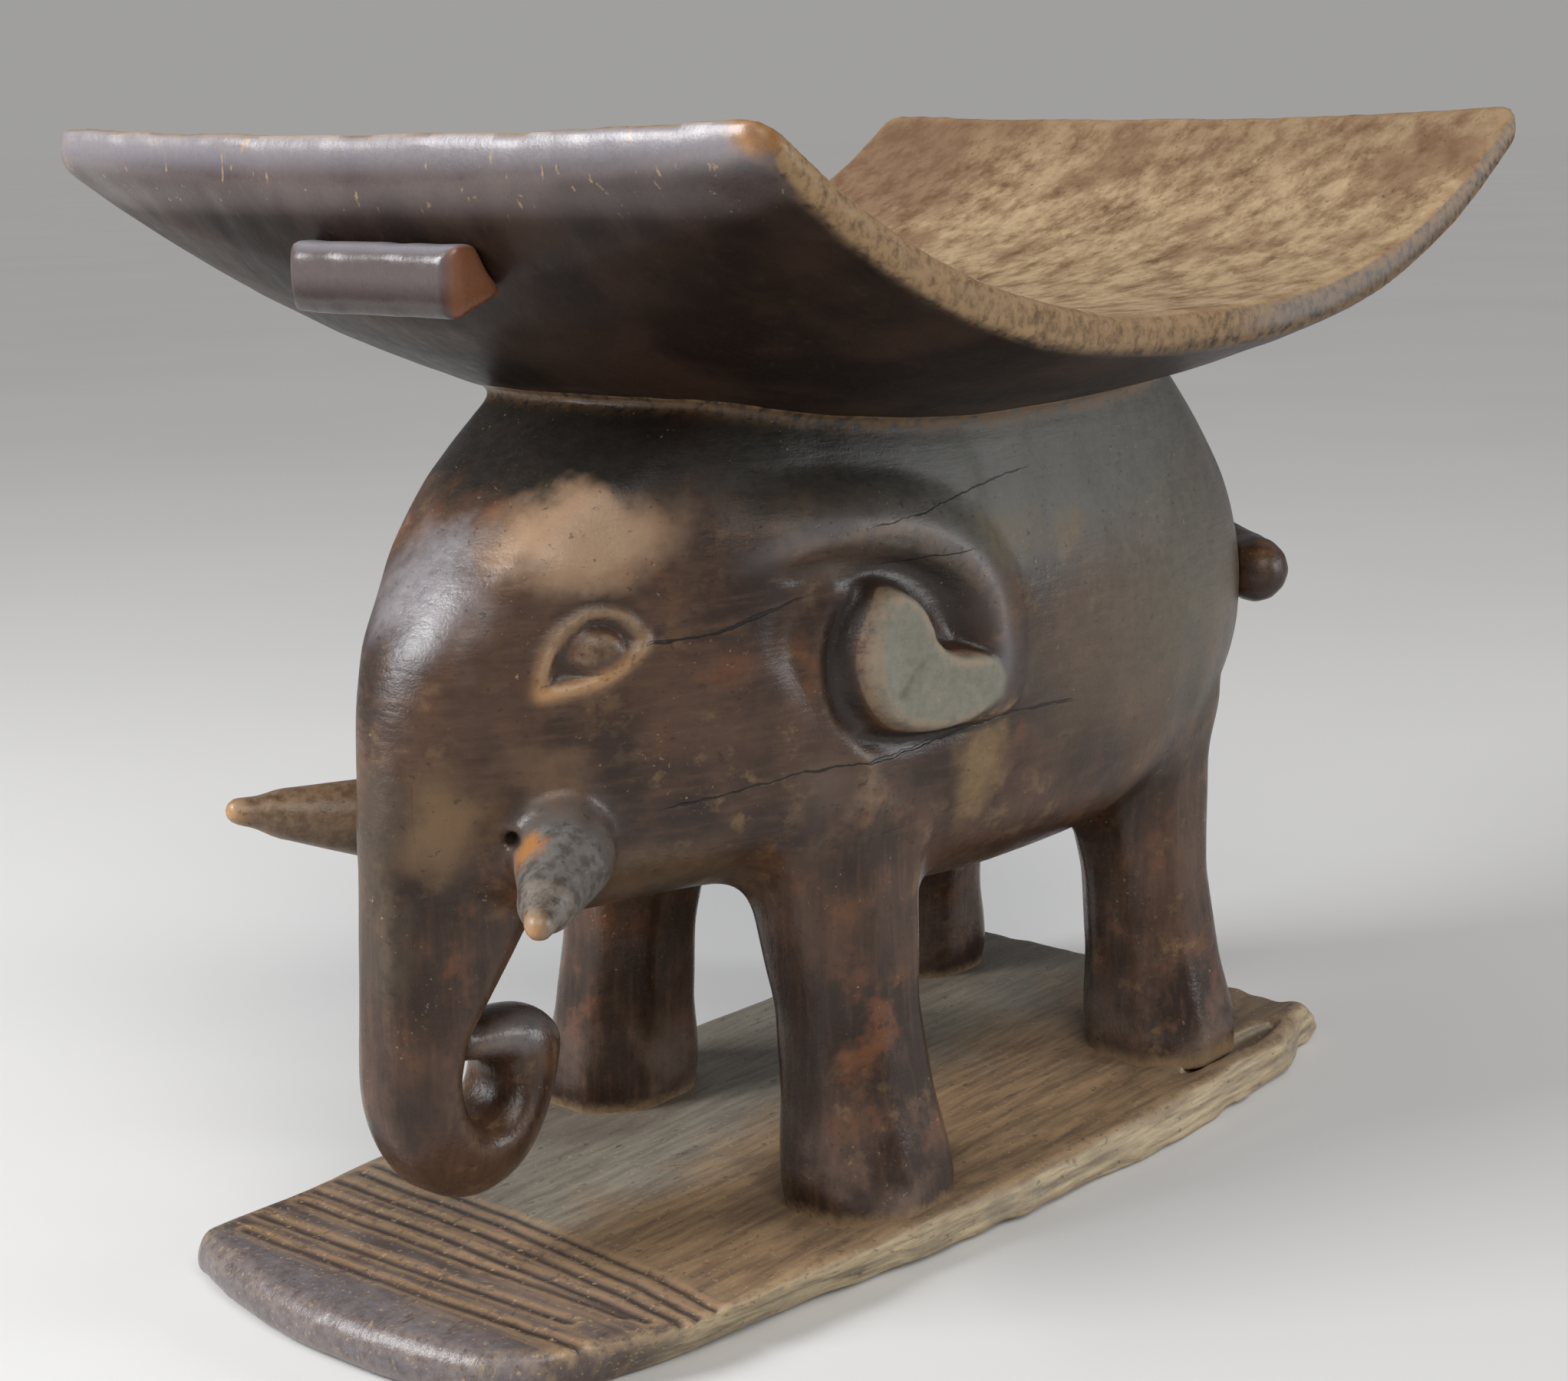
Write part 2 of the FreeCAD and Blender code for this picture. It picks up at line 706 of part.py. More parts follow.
def build():
    seat = make_seat()
    carcass = make_body_form().fuse(make_head_form()).fuse(make_trunk_form())
    carcass = largest(carcass.cut(seat))
    dug = carcass
    for side in (-1, 1):
        dug = dug.cut(make_ear_groove(carcass, side))
        dug = dug.cut(place_tusk(tusk_tenon(tusk_clearance), side))
    front = dug.common(front_of_neck())
    pieces = {
        "seat": seat,
        "front_lug": largest(make_lug(-1).cut(seat)),
        "rear_lug": largest(make_lug(1).cut(seat)),
        "plank": make_plank(),
        "body": largest(dug.cut(front_of_neck())),
        "head": largest(front.cut(under_throat())),
        "trunk": largest(front.common(under_throat())),
        "tail": make_tail(carcass),
    }
    for name, side in (("left", -1), ("right", 1)):
        pieces[name + "_tusk"] = make_tusk(carcass, side)
        pieces[name + "_ear"] = largest(make_ear(carcass, side))
        pieces[name + "_eye"] = largest(make_eye(carcass, side))
    legs = (
        ("front_left_leg", leg_front_x, -1, 0),
        ("front_right_leg", leg_front_x, 1, 0),
        ("rear_left_leg", leg_rear_x, -1, 0),
        ("rear_right_leg", leg_rear_x, 1, -leg_tuck),
    )
    for name, x, side, shift in legs:
        leg = make_leg(x + side * leg_skew, side, shift).cut(beyond_plank())
        pieces[name] = largest(leg.cut(carcass))
    return pieces


os.makedirs("parts", exist_ok=True)
for name, shape in build().items():
    shape.exportStep("parts/" + name + ".step")
    print(name, shape.isValid(), len(shape.Solids), round(shape.Volume))
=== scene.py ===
import math

import bpy
import numpy as np
import openvdb as vdb
from mathutils import Matrix, Vector


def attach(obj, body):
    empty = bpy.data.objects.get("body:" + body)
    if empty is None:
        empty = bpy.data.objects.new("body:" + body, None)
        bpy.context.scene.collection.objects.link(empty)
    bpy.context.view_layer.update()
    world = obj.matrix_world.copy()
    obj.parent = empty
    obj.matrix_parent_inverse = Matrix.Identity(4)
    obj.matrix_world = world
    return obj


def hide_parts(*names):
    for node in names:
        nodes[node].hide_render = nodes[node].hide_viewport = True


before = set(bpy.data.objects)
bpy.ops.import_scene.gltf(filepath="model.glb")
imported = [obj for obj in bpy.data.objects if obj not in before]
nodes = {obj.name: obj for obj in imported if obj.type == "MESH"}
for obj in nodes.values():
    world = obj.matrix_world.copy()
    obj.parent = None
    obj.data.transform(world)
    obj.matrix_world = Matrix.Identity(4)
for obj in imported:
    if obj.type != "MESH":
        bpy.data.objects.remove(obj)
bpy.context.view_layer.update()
mm = 1000.0                      # one metre
mesh_band = 4.0                  # a surface is meshed from distances up to this far
fade_start, fade_end = 5.0, 11.0 # soft unions stop this far outside both surfaces


# Noise and shaping
def smooth(value, low, high):
    share = np.clip((value - low) / (high - low), 0, 1)
    return share * share * (3 - 2 * share)


def bump(away, width):
    """One at the middle of a round ridge, falling to nothing a few widths away."""
    return np.exp(-((away / width) ** 2))


def between_corners(cell, part, read):
    """The value inside each cell, mixed from what read gives at its eight corners."""
    total = np.zeros(len(cell), np.float32)
    for corner in range(8):
        step = np.array([corner & 1, corner >> 1 & 1, corner >> 2 & 1])
        weight = np.prod(np.where(step, part, 1 - part), axis=1)
        total += weight * read(cell + step)
    return total


def noise(points, size, seed):
    """Smooth noise from -1 to 1, with lumps of the given size in mm along x, y and z."""
    table = np.random.default_rng(seed).uniform(-1, 1, (32, 32, 32)).astype(np.float32)
    spot = np.asarray(points, np.float32) / np.array(size, np.float32)
    cell = np.floor(spot).astype(np.int32)
    part = spot - cell
    part = part * part * (3 - 2 * part)
    return between_corners(cell, part, lambda at: table[tuple((at & 31).T)])


# Distance fields: signed distances in mm on a regular grid, below zero inside
class Field:
    def __init__(self, low, high, voxel):
        self.voxel = voxel
        self.start = np.floor(np.array(low) / voxel).astype(int)
        self.size = np.ceil(np.array(high) / voxel).astype(int) - self.start + 1

    def of(self, points, triangles, band=16.0):
        """The distance to a closed mesh, true up to the band on each side of it."""
        grid = vdb.FloatGrid.createLevelSetFromPolygons(
            np.ascontiguousarray(points, np.float32),
            triangles=np.ascontiguousarray(triangles, np.uint32),
            transform=vdb.createLinearTransform(voxelSize=self.voxel),
            halfWidth=band / self.voxel,
        )
        values = np.empty(tuple(self.size), np.float32)
        grid.copyToArray(values, ijk=tuple(int(i) for i in self.start))
        return values

    def mesh(self, values, level=0.0):
        """Points and four-sided faces of the surface at that level."""
        grid = vdb.FloatGrid(mesh_band)
        grid.transform = vdb.createLinearTransform(voxelSize=self.voxel)
        clipped = np.clip(values - level, -mesh_band, mesh_band).astype(np.float32)
        grid.copyFromArray(clipped, ijk=tuple(int(i) for i in self.start), tolerance=0.0)
        points, quads = grid.convertToQuads(0.0)
        return points, quads[:, ::-1]

    def near(self, values, band):
        """Where the surface is closer than the band: the places in the grid and in mm."""
        found = np.nonzero(np.abs(values) < band)
        places = [(self.start[i] + found[i]) * self.voxel for i in range(3)]
        return found, np.stack(places, axis=1).astype(np.float32)

    def axis(self, i):
        shape = [1, 1, 1]
        shape[i] = self.size[i]
        return ((self.start[i] + np.arange(self.size[i])) * self.voxel).astype(np.float32).reshape(shape)

    def sample(self, values, points):
        """The values read at any points in mm."""
        spot = np.clip(np.asarray(points) / self.voxel - self.start, 0.001, np.array(self.size) - 1.001)
        cell = np.floor(spot).astype(int)
        return between_corners(cell, spot - cell, lambda at: values[tuple(at.T)])


def blur(values, rounds):
    """Round off a distance field; each round reaches one voxel further."""
    out = values
    for _ in range(rounds):
        for axis in range(3):
            ends = [slice(None)] * 3
            inner, ahead, behind = list(ends), list(ends), list(ends)
            inner[axis], ahead[axis], behind[axis] = slice(1, -1), slice(2, None), slice(None, -2)
            new = out.copy()
            new[tuple(inner)] = out[tuple(inner)] * np.float32(0.5) + (
                out[tuple(ahead)] + out[tuple(behind)]
            ) * np.float32(0.25)
            out = new
    return out


def soft_union(a, b, reach):
    """Join two fields with a fillet between them."""
    near = np.minimum(a, b)
    share = np.clip(1 - np.abs(a - b) / reach, 0, 1)
    return near - share * share * (reach * 0.25) * (1 - smooth(near, fade_start, fade_end))


def cone(place, start, axis, length, root_radius, tip_radius):
    """Signed distance to a round-ended cone."""
    x, y, z = (place[i] - start[i] for i in range(3))
    share = np.clip((x * axis[0] + y * axis[1] + z * axis[2]) / length, 0, 1)
    x, y, z = (part - share * length * axis[i] for i, part in enumerate((x, y, z)))
    return (np.sqrt(x * x + y * y + z * z) - root_radius - share * (tip_radius - root_radius)).astype(np.float32)


def mesh_points(mesh):
    points = np.empty(len(mesh.vertices) * 3, np.float32)
    mesh.vertices.foreach_get("co", points)
    return points.reshape(-1, 3) * mm


def node_mesh(name):
    """Points in mm and triangles of a CAD node."""
    mesh = nodes[name].data
    mesh.calc_loop_triangles()
    triangles = np.empty(len(mesh.loop_triangles) * 3, np.int32)
    mesh.loop_triangles.foreach_get("vertices", triangles)
    return mesh_points(mesh), triangles.reshape(-1, 3)


def triangulated(quads):
    return np.concatenate([quads[:, [0, 1, 2]], quads[:, [0, 2, 3]]])


# Flat drawings, seen from the side: x along the elephant and z up
def curve_point(a, b, c, d, t):
    """A point between b and c on the smooth curve through a, b, c and d."""
    return 0.5 * (
        2 * b + (c - a) * t + (2 * a - 5 * b + 4 * c - d) * t * t + (3 * b - a - 3 * c + d) * t ** 3
    )


def closed_curve(corners, finer=6):
    corners = np.array(corners, float)
    out = []
    for i in range(len(corners)):
        near = [corners[(i + k) % len(corners)] for k in (-1, 0, 1, 2)]
        out += [curve_point(*near, step / finer) for step in range(finer)]
    return np.array(out)


def open_curve(corners, finer=6):
    corners = np.array(corners, float)
    ends = np.concatenate([corners[:1] * 2 - corners[1:2], corners, corners[-1:] * 2 - corners[-2:-1]])
    out = []
    for i in range(1, len(ends) - 2):
        out += [curve_point(*ends[i - 1:i + 3], step / finer) for step in range(finer)]
    out.append(corners[-1])
    return np.array(out)


class Drawing:
    """A height map in side view, on a grid of x and z."""

    def __init__(self, low, high, step):
        self.low, self.step = np.array(low, float), step
        self.count = (np.ceil((np.array(high) - self.low) / step)).astype(int) + 1
        self.x = self.low[0] + np.arange(self.count[0])[:, None] * step + np.zeros((1, self.count[1]))
        self.z = self.low[1] + np.arange(self.count[1])[None, :] * step + np.zeros((self.count[0], 1))

    def line_distance(self, line, closed=False):
        """Distance to a line, and the share of its length at the nearest place."""
        line = np.array(line, float)
        after = np.roll(line, -1, axis=0) if closed else line[1:]
        before = line if closed else line[:-1]
        lengths = np.linalg.norm(after - before, axis=1)
        starts = np.concatenate([[0], np.cumsum(lengths)[:-1]])
        best = np.full(self.x.shape, 1e9)
        share = np.zeros(self.x.shape)
        for a, b, length, start in zip(before, after, lengths, starts):
            if length < 1e-9:
                continue
            t = ((self.x - a[0]) * (b[0] - a[0]) + (self.z - a[1]) * (b[1] - a[1])) / length ** 2
            t = np.clip(t, 0, 1)
            d = np.hypot(self.x - a[0] - t * (b[0] - a[0]), self.z - a[1] - t * (b[1] - a[1]))
            closer = d < best
            best = np.where(closer, d, best)
            share = np.where(closer, (start + t * length) / lengths.sum(), share)
        return best, share

    def inside(self, loop):
        """Signed distance, above zero inside the loop."""
        loop = np.array(loop, float)
        crossings = np.zeros(self.x.shape, bool)
        for a, b in zip(loop, np.roll(loop, -1, axis=0)):
            spans = (a[1] > self.z) != (b[1] > self.z)
            with np.errstate(divide="ignore", invalid="ignore"):
                cut = a[0] + (self.z - a[1]) / (b[1] - a[1] + 1e-12) * (b[0] - a[0])
            crossings ^= spans & (self.x < cut)
        distance, _ = self.line_distance(loop, closed=True)
        return np.where(crossings, distance, -distance)

    def read(self, values, x, z):
        """The values read at any x and z in mm."""
        spot_x = np.clip((x - self.low[0]) / self.step, 0, self.count[0] - 1.001)
        spot_z = np.clip((z - self.low[1]) / self.step, 0, self.count[1] - 1.001)
        i, k = np.floor(spot_x).astype(int), np.floor(spot_z).astype(int)
        u, v = spot_x - i, spot_z - k
        return (
            values[i, k] * (1 - u) * (1 - v) + values[i + 1, k] * u * (1 - v)
            + values[i, k + 1] * (1 - u) * v + values[i + 1, k + 1] * u * v
        )


# The ear: how far its swelling reaches over the flank, its rolled crest from the front end to the tip, the flat
# lobe, the hollow between them and the fold across the lobe
ear_reach = closed_curve((
    (-168.0, 262.0), (-150.0, 285.0), (-120.0, 303.0), (-90.0, 310.0), (-60.0, 311.0), (-30.0, 305.0), (-4.0, 290.0),
    (9.0, 268.0), (12.0, 245.0), (9.0, 222.0), (1.5, 205.6), (-22.1, 200.5), (-37.1, 198.6), (-55.4, 197.7),
    (-73.3, 199.0), (-86.9, 204.8), (-95.6, 215.6), (-99.9, 228.6), (-98.6, 240.8), (-105.0, 248.0), (-125.0, 250.0),
    (-150.0, 252.0),
))
ear_crest = open_curve((
    (-145.5, 264.6), (-132.4, 269.6), (-119.5, 275.6), (-105.1, 278.6), (-83.2, 277.8), (-66.9, 273.6), (-50.4, 263.4),
    (-40.6, 250.5), (-36.2, 236.4), (-34.0, 222.6), (-37.5, 211.6),
))
ear_lobe = closed_curve((
    (-88.7, 255.4), (-81.7, 254.8), (-75.0, 249.9), (-70.4, 242.7), (-65.8, 233.7), (-58.1, 229.3), (-43.5, 226.8),
    (-34.6, 220.3), (-34.8, 210.9), (-43.1, 204.0), (-56.6, 200.7), (-72.1, 201.2), (-86.9, 205.8), (-95.6, 215.6),
    (-99.9, 228.6), (-98.1, 239.8), (-93.8, 249.6),
))
ear_floor = closed_curve((
    (-97.6, 258.3), (-85.9, 257.2), (-72.3, 254.0), (-62.5, 244.4), (-55.9, 236.4), (-47.1, 232.9), (-39.7, 235.7),
    (-42.5, 244.6), (-53.9, 254.6), (-72.7, 262.7), (-89.2, 262.2),
))
ear_fold = open_curve(((-69.0, 236.0), (-72.5, 231.0), (-78.8, 225.6), (-86.0, 216.3)))
crest_height = 11.5
crest_inner_width = 15.0
crest_outer_widths = (22, 22, 21, 21, 22, 26, 31, 34, 34)
crest_width_places = (0, 0.18, 0.28, 0.42, 0.52, 0.65, 0.75, 0.85, 1)    # shares of the crest's length
lobe_height = 11.0
lobe_dents = (                   # centre in x and z, width in x and z, depth
    (-84.0, 233.0, 10.0, 16.0, 1.7),
    (-58.0, 214.0, 16.0, 9.0, 1.0),
)
fold_depth, fold_width = 1.5, 1.9
hollow_depth = 2.2
groove_depth = 3.0               # of the groove in front of the lobe and under it


def ear_height_map(plan):
    """How far the ear stands over the flank, in mm: a rolled crest around a flat lobe."""
    crest, share = plan.line_distance(ear_crest)
    middle = plan.inside(np.concatenate([ear_crest, ear_lobe[::-1][len(ear_lobe) // 3:]]))
    turned_in = smooth(middle, -1.0, 1.0)
    outward = 1 - smooth(crest, 0.5, np.interp(share, crest_width_places, crest_outer_widths))
    inward = 1 - smooth(crest, 1.0, crest_inner_width)
    ring = crest_height * (outward * (1 - turned_in) + inward * turned_in)
    ring *= smooth(share, -0.04, 0.34) * smooth(plan.inside(ear_reach), -1.5, 3.0)

    lobe_edge = plan.inside(ear_lobe)
    lobe = lobe_height * smooth(lobe_edge, -2.0, 2.2)
    dents = sum(
        depth * np.exp(-(((plan.x - x) / wide) ** 2 + ((plan.z - z) / tall) ** 2))
        for x, z, wide, tall, depth in lobe_dents
    )
    lobe -= dents * smooth(lobe_edge, 0.0, 4.0)
    fold, _ = plan.line_distance(ear_fold)
    lobe -= fold_depth * bump(fold, fold_width) * smooth(lobe_edge, 0.0, 3.0)

    height = np.maximum(ring, lobe)
    height -= hollow_depth * smooth(plan.inside(ear_floor), -5.0, 3.0) * (1 - smooth(lobe_edge, -3.0, 1.0))
    foot = smooth(-lobe_edge, 0.5, 2.5) * (1 - smooth(-lobe_edge, 3.0, 12.0))
    low_left = np.maximum(smooth(-88.0 - plan.x, 0.0, 12.0), smooth(208.0 - plan.z, 0.0, 10.0))
    beside = (1 - smooth(plan.z, 240.0, 260.0)) * (1 - smooth(plan.x, -45.0, -15.0))
    return height - groove_depth * foot * low_left * beside


# The eye: two lids around a ball, under a brow and in a shallow socket
eye_upper = open_curve((
    (-201.0, 230.5), (-198.8, 240.3), (-193.5, 249.6), (-184.8, 255.6), (-175.2, 254.6), (-169.2, 247.6),
))
eye_lower = open_curve(((-200.0, 230.0), (-191.8, 231.4), (-183.0, 233.8), (-175.2, 239.0), (-167.8, 246.2)))
eye_centre = (-183.5, 243.8)
upper_lid_height, upper_lid_width = 2.5, 1.9
lower_lid_height, lower_lid_width = 2.9, 2.2
moat_depth = 1.3                 # inside the lids
ball_radius = 8.2                # upright; the ball is wider than that along x
ball_stretch = 1.12
ball_height, ball_sink = 5.0, 1.2
brow = (-188.0, 271.0, 27.0, 11.0, 2.6)      # centre in x and z, width in x and z, height
brow_slope = -0.05
socket = (-184.0, 243.0, 26.0, 19.0, 1.6)    # the same, with its depth last
tear = (-163.5, 248.0)           # the dent behind the eye
tear_depth, tear_width = 1.8, 2.2


def eye_height_map(plan):
    """How far the eye stands over the cheek, in mm."""
    upper, upper_share = plan.line_distance(eye_upper)
    lower, lower_share = plan.line_distance(eye_lower)

    def ends(share):
        return smooth(share, -0.05, 0.18) * smooth(1 - share, -0.05, 0.14)

    height = upper_lid_height * bump(upper, upper_lid_width) * ends(upper_share)
    height = np.maximum(height, lower_lid_height * bump(lower, lower_lid_width) * ends(lower_share))
    height -= moat_depth * smooth(plan.inside(np.concatenate([eye_upper, eye_lower[::-1]])), 0.5, 4.0)
    away = np.hypot((plan.x - eye_centre[0]) / ball_stretch, plan.z - eye_centre[1])
    ball = np.sqrt(np.clip(1 - (away / ball_radius) ** 2, 0, 1)) * ball_height - ball_sink
    height = np.where(away < ball_radius, np.maximum(height, ball), height)
    x, z, wide, tall, rise = brow
    ridge = z + (plan.x - x) * brow_slope
    height += rise * np.exp(-(((plan.x - x) / wide) ** 2 + ((plan.z - ridge) / tall) ** 2))
    x, z, wide, tall, depth = socket
    height -= depth * np.exp(-(((plan.x - x) / wide) ** 2 + ((plan.z - z) / tall) ** 2))
    return height - tear_depth * bump(np.hypot(plan.x - tear[0], plan.z - tear[1]), tear_width)


def with_mirror_below(points, triangles, level):
    """A mesh and its reflection under a level, so that a blur leaves its lower end alone."""
    below = points.copy()
    below[:, 2] = 2 * level - below[:, 2]
    return np.concatenate([points, below]), np.concatenate([triangles, triangles[:, ::-1] + len(points)])


# The tusks, from the swellings at their roots: node, side, axis, and the root's radius at both ends
tusk_root = (-203.0, 49.0, 174.0)
tusks = (
    ("left_tusk", -1, (-0.807, -0.565, -0.174), 17.5, 9.0),
    ("right_tusk", 1, (-0.811, 0.568, 0.139), 14.0, 8.0),
)
tusk_swelling_start = -6.0       # along the axis from the root
tusk_swelling_length = 34.0
tusk_swelling_fillet = 9.0
tusk_fillet = 7.0
tusk_cut_start, tusk_cut_length, tusk_cut_half_width = 12.0, 60.0, 16.0

# The small hole over the near tusk
hole_start = (-219.0, -44.0, 183.0)
hole_axis = (0.64, 0.76, -0.1)
hole_depth, hole_mouth_radius, hole_end_radius = 16.0, 2.9, 2.4

# The carved block and its side view
carved_low, carved_high, carved_voxel = (-262, -134, 8), (268, 112, 345), 1.5
plan_low, plan_high, plan_step = (-245, 180), (20, 320), 0.5
round_off = 0.8                  # the CAD facets' edges lose this much before they are blurred
leg_blur, trunk_blur, body_blur = 12, 3, 14
leg_fillet = 16.0
plank_top = 19.0
foot_end = 14.0                  # the legs reach down into the plank to this level
seat_fillet = 9.0
seat_fillet_reach = 6.0
seat_overlap = 2.6
trunk_top, head_bottom = 130.0, 182.0        # the blur changes between these levels
trunk_back, head_front = -197.0, -181.0      # and between these places along x
relief_band, chisel_band = 15.0, 3.2         # how far from the surface the height maps are added
relief_back, relief_bottom, relief_top = 18, 182, 318
side_start, side_end = 20, 36    # the relief fades in between these distances from the middle
far_brow_bottom, far_brow_back = 258, -140
far_brow_share = 0.2             # what is left of the brow on the far side
chisel_marks = ((0.45, (16, 16, 22), 11), (0.35, (34, 30, 40), 12))      # depth, size, seed


def tusk_origin(side):
    return np.array((tusk_root[0], side * tusk_root[1], tusk_root[2]))


def carve_body():
    """The whole carved animal as one distance field, and the distance to the seat."""
    field = Field(carved_low, carved_high, carved_voxel)
    core = None
    for name in ("body", "head", "trunk"):
        part = field.of(*node_mesh(name))
        core = part if core is None else np.minimum(core, part)
    points, quads = field.mesh(core, round_off)
    core = field.of(points, triangulated(quads)) + np.float32(round_off)
    legs = None
    for name in ("front_left_leg", "front_right_leg", "rear_left_leg", "rear_right_leg"):
        part = field.of(*with_mirror_below(*node_mesh(name), plank_top))
        legs = part if legs is None else np.minimum(legs, part)
    legs = blur(legs, leg_blur)
    x, y, z = field.axis(0), field.axis(1), field.axis(2)
    on_trunk = (1 - smooth(z, trunk_top, head_bottom)) * (1 - smooth(x, trunk_back, head_front))
    core = blur(core, trunk_blur)
    core = core * on_trunk + blur(core, body_blur) * (1 - on_trunk)
    core = soft_union(core, legs, leg_fillet)

    for name, side, axis, wide, slim in tusks:
        start = tusk_origin(side) + tusk_swelling_start * np.array(axis)
        swelling = cone((x, y, z), start.tolist(), axis, tusk_swelling_length, wide, slim)
        core = soft_union(core, swelling, tusk_swelling_fillet)
        core = soft_union(core, blur(field.of(*node_mesh(name)), 1), tusk_fillet)

    # relief on the flanks
    plan = Drawing(plan_low, plan_high, plan_step)
    heights = ear_height_map(plan) + eye_height_map(plan)
    found, places = field.near(core, relief_band)
    px, py, pz = places.T
    height = plan.read(heights, px, pz)
    inside_plan = (px < relief_back) & (pz > relief_bottom) & (pz < relief_top)
    height = np.where(inside_plan, height, 0) * smooth(np.abs(py), side_start, side_end)
    far_brow = (py > 0) & (pz > far_brow_bottom) & (px < far_brow_back)
    height *= np.where(far_brow, far_brow_share, 1.0)
    core[found] -= height.astype(np.float32)
    found, places = field.near(core, chisel_band)
    core[found] -= sum(depth * noise(places, size, seed) for depth, size, seed in chisel_marks)

    hole = cone((x, y, z), hole_start, hole_axis, hole_depth, hole_mouth_radius, hole_end_radius)
    core = blur(np.maximum(core, -hole), 1)

    # meet the seat with a small fillet, and reach a little into it
    seat = field.of(*node_mesh("seat"))
    fillet = soft_union(core, seat + np.float32(round_off), seat_fillet)
    below = np.maximum(fillet, core - seat_fillet_reach)
    below = np.maximum(below, -(seat + seat_overlap))
    return field, np.maximum(below, foot_end - z), seat


# Pieces
def linked(name, data):
    made = bpy.data.objects.new(name, data)
    bpy.context.scene.collection.objects.link(made)
    return made


def raw_object(name, points, faces):
    """A linked object from points in mm and four-sided faces, which it turns outward."""
    mesh = bpy.data.meshes.new(name)
    faces = np.asarray(faces)
    a, b, c, d = (np.asarray(points, float)[faces[:, i]] for i in range(4))
    volume = np.sum(a * np.cross(b, c)) + np.sum(a * np.cross(c, d))
    if volume < 0:
        faces = faces[:, ::-1]
    mesh.vertices.add(len(points))
    mesh.vertices.foreach_set("co", (np.asarray(points, np.float32) / mm).ravel())
    mesh.loops.add(faces.size)
    mesh.loops.foreach_set("vertex_index", faces.astype(np.int32).ravel())
    mesh.polygons.add(len(faces))
    mesh.polygons.foreach_set("loop_start", np.arange(0, faces.size, faces.shape[1], dtype=np.int32))
    mesh.update(calc_edges=True)
    mesh.validate()
    return linked(name, mesh)


def dress(piece, replaced, material):
    """Give a piece its material and its place in the frame."""
    mesh = piece.data
    mesh.polygons.foreach_set("use_smooth", np.ones(len(mesh.polygons), bool))
    mesh.set_sharp_from_angle(angle=math.radians(50))
    mesh.materials.clear()
    mesh.materials.append(material)
    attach(piece, "root")
    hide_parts(*replaced)


def mark(piece, name, values):
    """Keep one value per point, for the materials to read."""
    attribute = piece.data.attributes.new(name, "FLOAT", "POINT")
    attribute.data.foreach_set("value", np.asarray(values, np.float32))


def cut(piece, cutter, operation):
    """The mesh that is left of a piece after a boolean with the cutter."""
    modifier = piece.modifiers.new("cut", "BOOLEAN")
    modifier.operation = operation
    modifier.solver = "MANIFOLD"
    modifier.object = cutter
    evaluated = piece.evaluated_get(bpy.context.evaluated_depsgraph_get())
    mesh = bpy.data.meshes.new_from_object(evaluated)
    piece.modifiers.clear()
    return mesh


def block(corners_low, corners_high):
    """A closed six-sided or prismatic cutter between two loops of the same number of points."""
    count = len(corners_low)
    points = np.concatenate([np.array(corners_low, float), np.array(corners_high, float)])
    mesh = bpy.data.meshes.new("cutter")
    faces = [tuple(range(count))[::-1], tuple(range(count, 2 * count))]
    faces += [(i, (i + 1) % count, (i + 1) % count + count, i + count) for i in range(count)]
    mesh.from_pydata([tuple(p / mm) for p in points], [], faces)
    mesh.calc_loop_triangles()
    volume = sum(
        points[a].dot(np.cross(points[b], points[c])) for a, b, c in (t.vertices for t in mesh.loop_triangles)
    )
    if volume < 0:
        mesh.flip_normals()
    return linked("cutter", mesh)


def side_plug(loop, side, plane):
    """A cutter through one flank: the loop is in x and z, the inner end lies on |y| = a + b x + c z."""
    a, b, c = plane
    inner = [(x, side * (a + b * x + c * z), z) for x, z in loop]
    far = [(x, side * plug_end, z) for x, z in loop]
    return block(inner, far)


# Where the carved animal is parted, in the order of the cuts
eye_loop = closed_curve((
    (-206.5, 227.0), (-204.0, 242.0), (-196.5, 254.5), (-185.0, 261.0), (-172.0, 259.5), (-161.5, 248.0),
    (-172.0, 236.0), (-184.0, 229.5), (-196.0, 226.0),
), 3)
ear_loop = closed_curve((
    (-128.0, 281.5), (-111.0, 283.0), (-85.7, 280.5), (-62.0, 273.0), (-41.0, 262.0), (-23.0, 247.0), (-9.0, 231.0),
    (0.5, 212.5), (-3.5, 199.0), (-31.2, 192.5), (-66.0, 192.5), (-90.0, 197.5), (-106.5, 207.0), (-114.0, 219.0),
    (-117.0, 231.4), (-117.0, 242.0), (-113.0, 254.0), (-122.0, 262.0), (-136.0, 270.0),
), 3)
plug_depth = 3.0                 # eyes and ears reach this far under the surface
plug_end = 132.0
no_surface = 60.0                # taken where a column meets no wood
cut_front_x, cut_back_x, cut_top = -300.0, -113.0, 400.0
trunk_cut_half_width = 140.0
head_cut_half_width = 14.0       # the head piece is the middle of the head, and its cheeks stay with the body
trunk_cut = ((-248.0, 178.0), (-184.0, 131.0))      # two points of the slanting cut over the trunk, in x and z
leg_inner_y, leg_outer_y, leg_inner_top = 22.0, 135.0, 122.0
leg_cuts = (                     # node, side, reach in x, top at the outside
    ("front_left_leg", -1, -111.0, -31.0, 190.0),
    ("front_right_leg", 1, -89.0, -9.0, 172.0),
    ("rear_left_leg", -1, 99.0, 180.0, 176.0),
    ("rear_right_leg", 1, 113.0, 200.0, 190.0),
)


def across(profile, axis, low, high):
    """A cutter with a flat profile, drawn out along x or y."""
    place = (lambda p, at: (at, *p)) if axis == "x" else (lambda p, at: (p[0], at, p[1]))
    return block([place(p, low) for p in profile], [place(p, high) for p in profile])


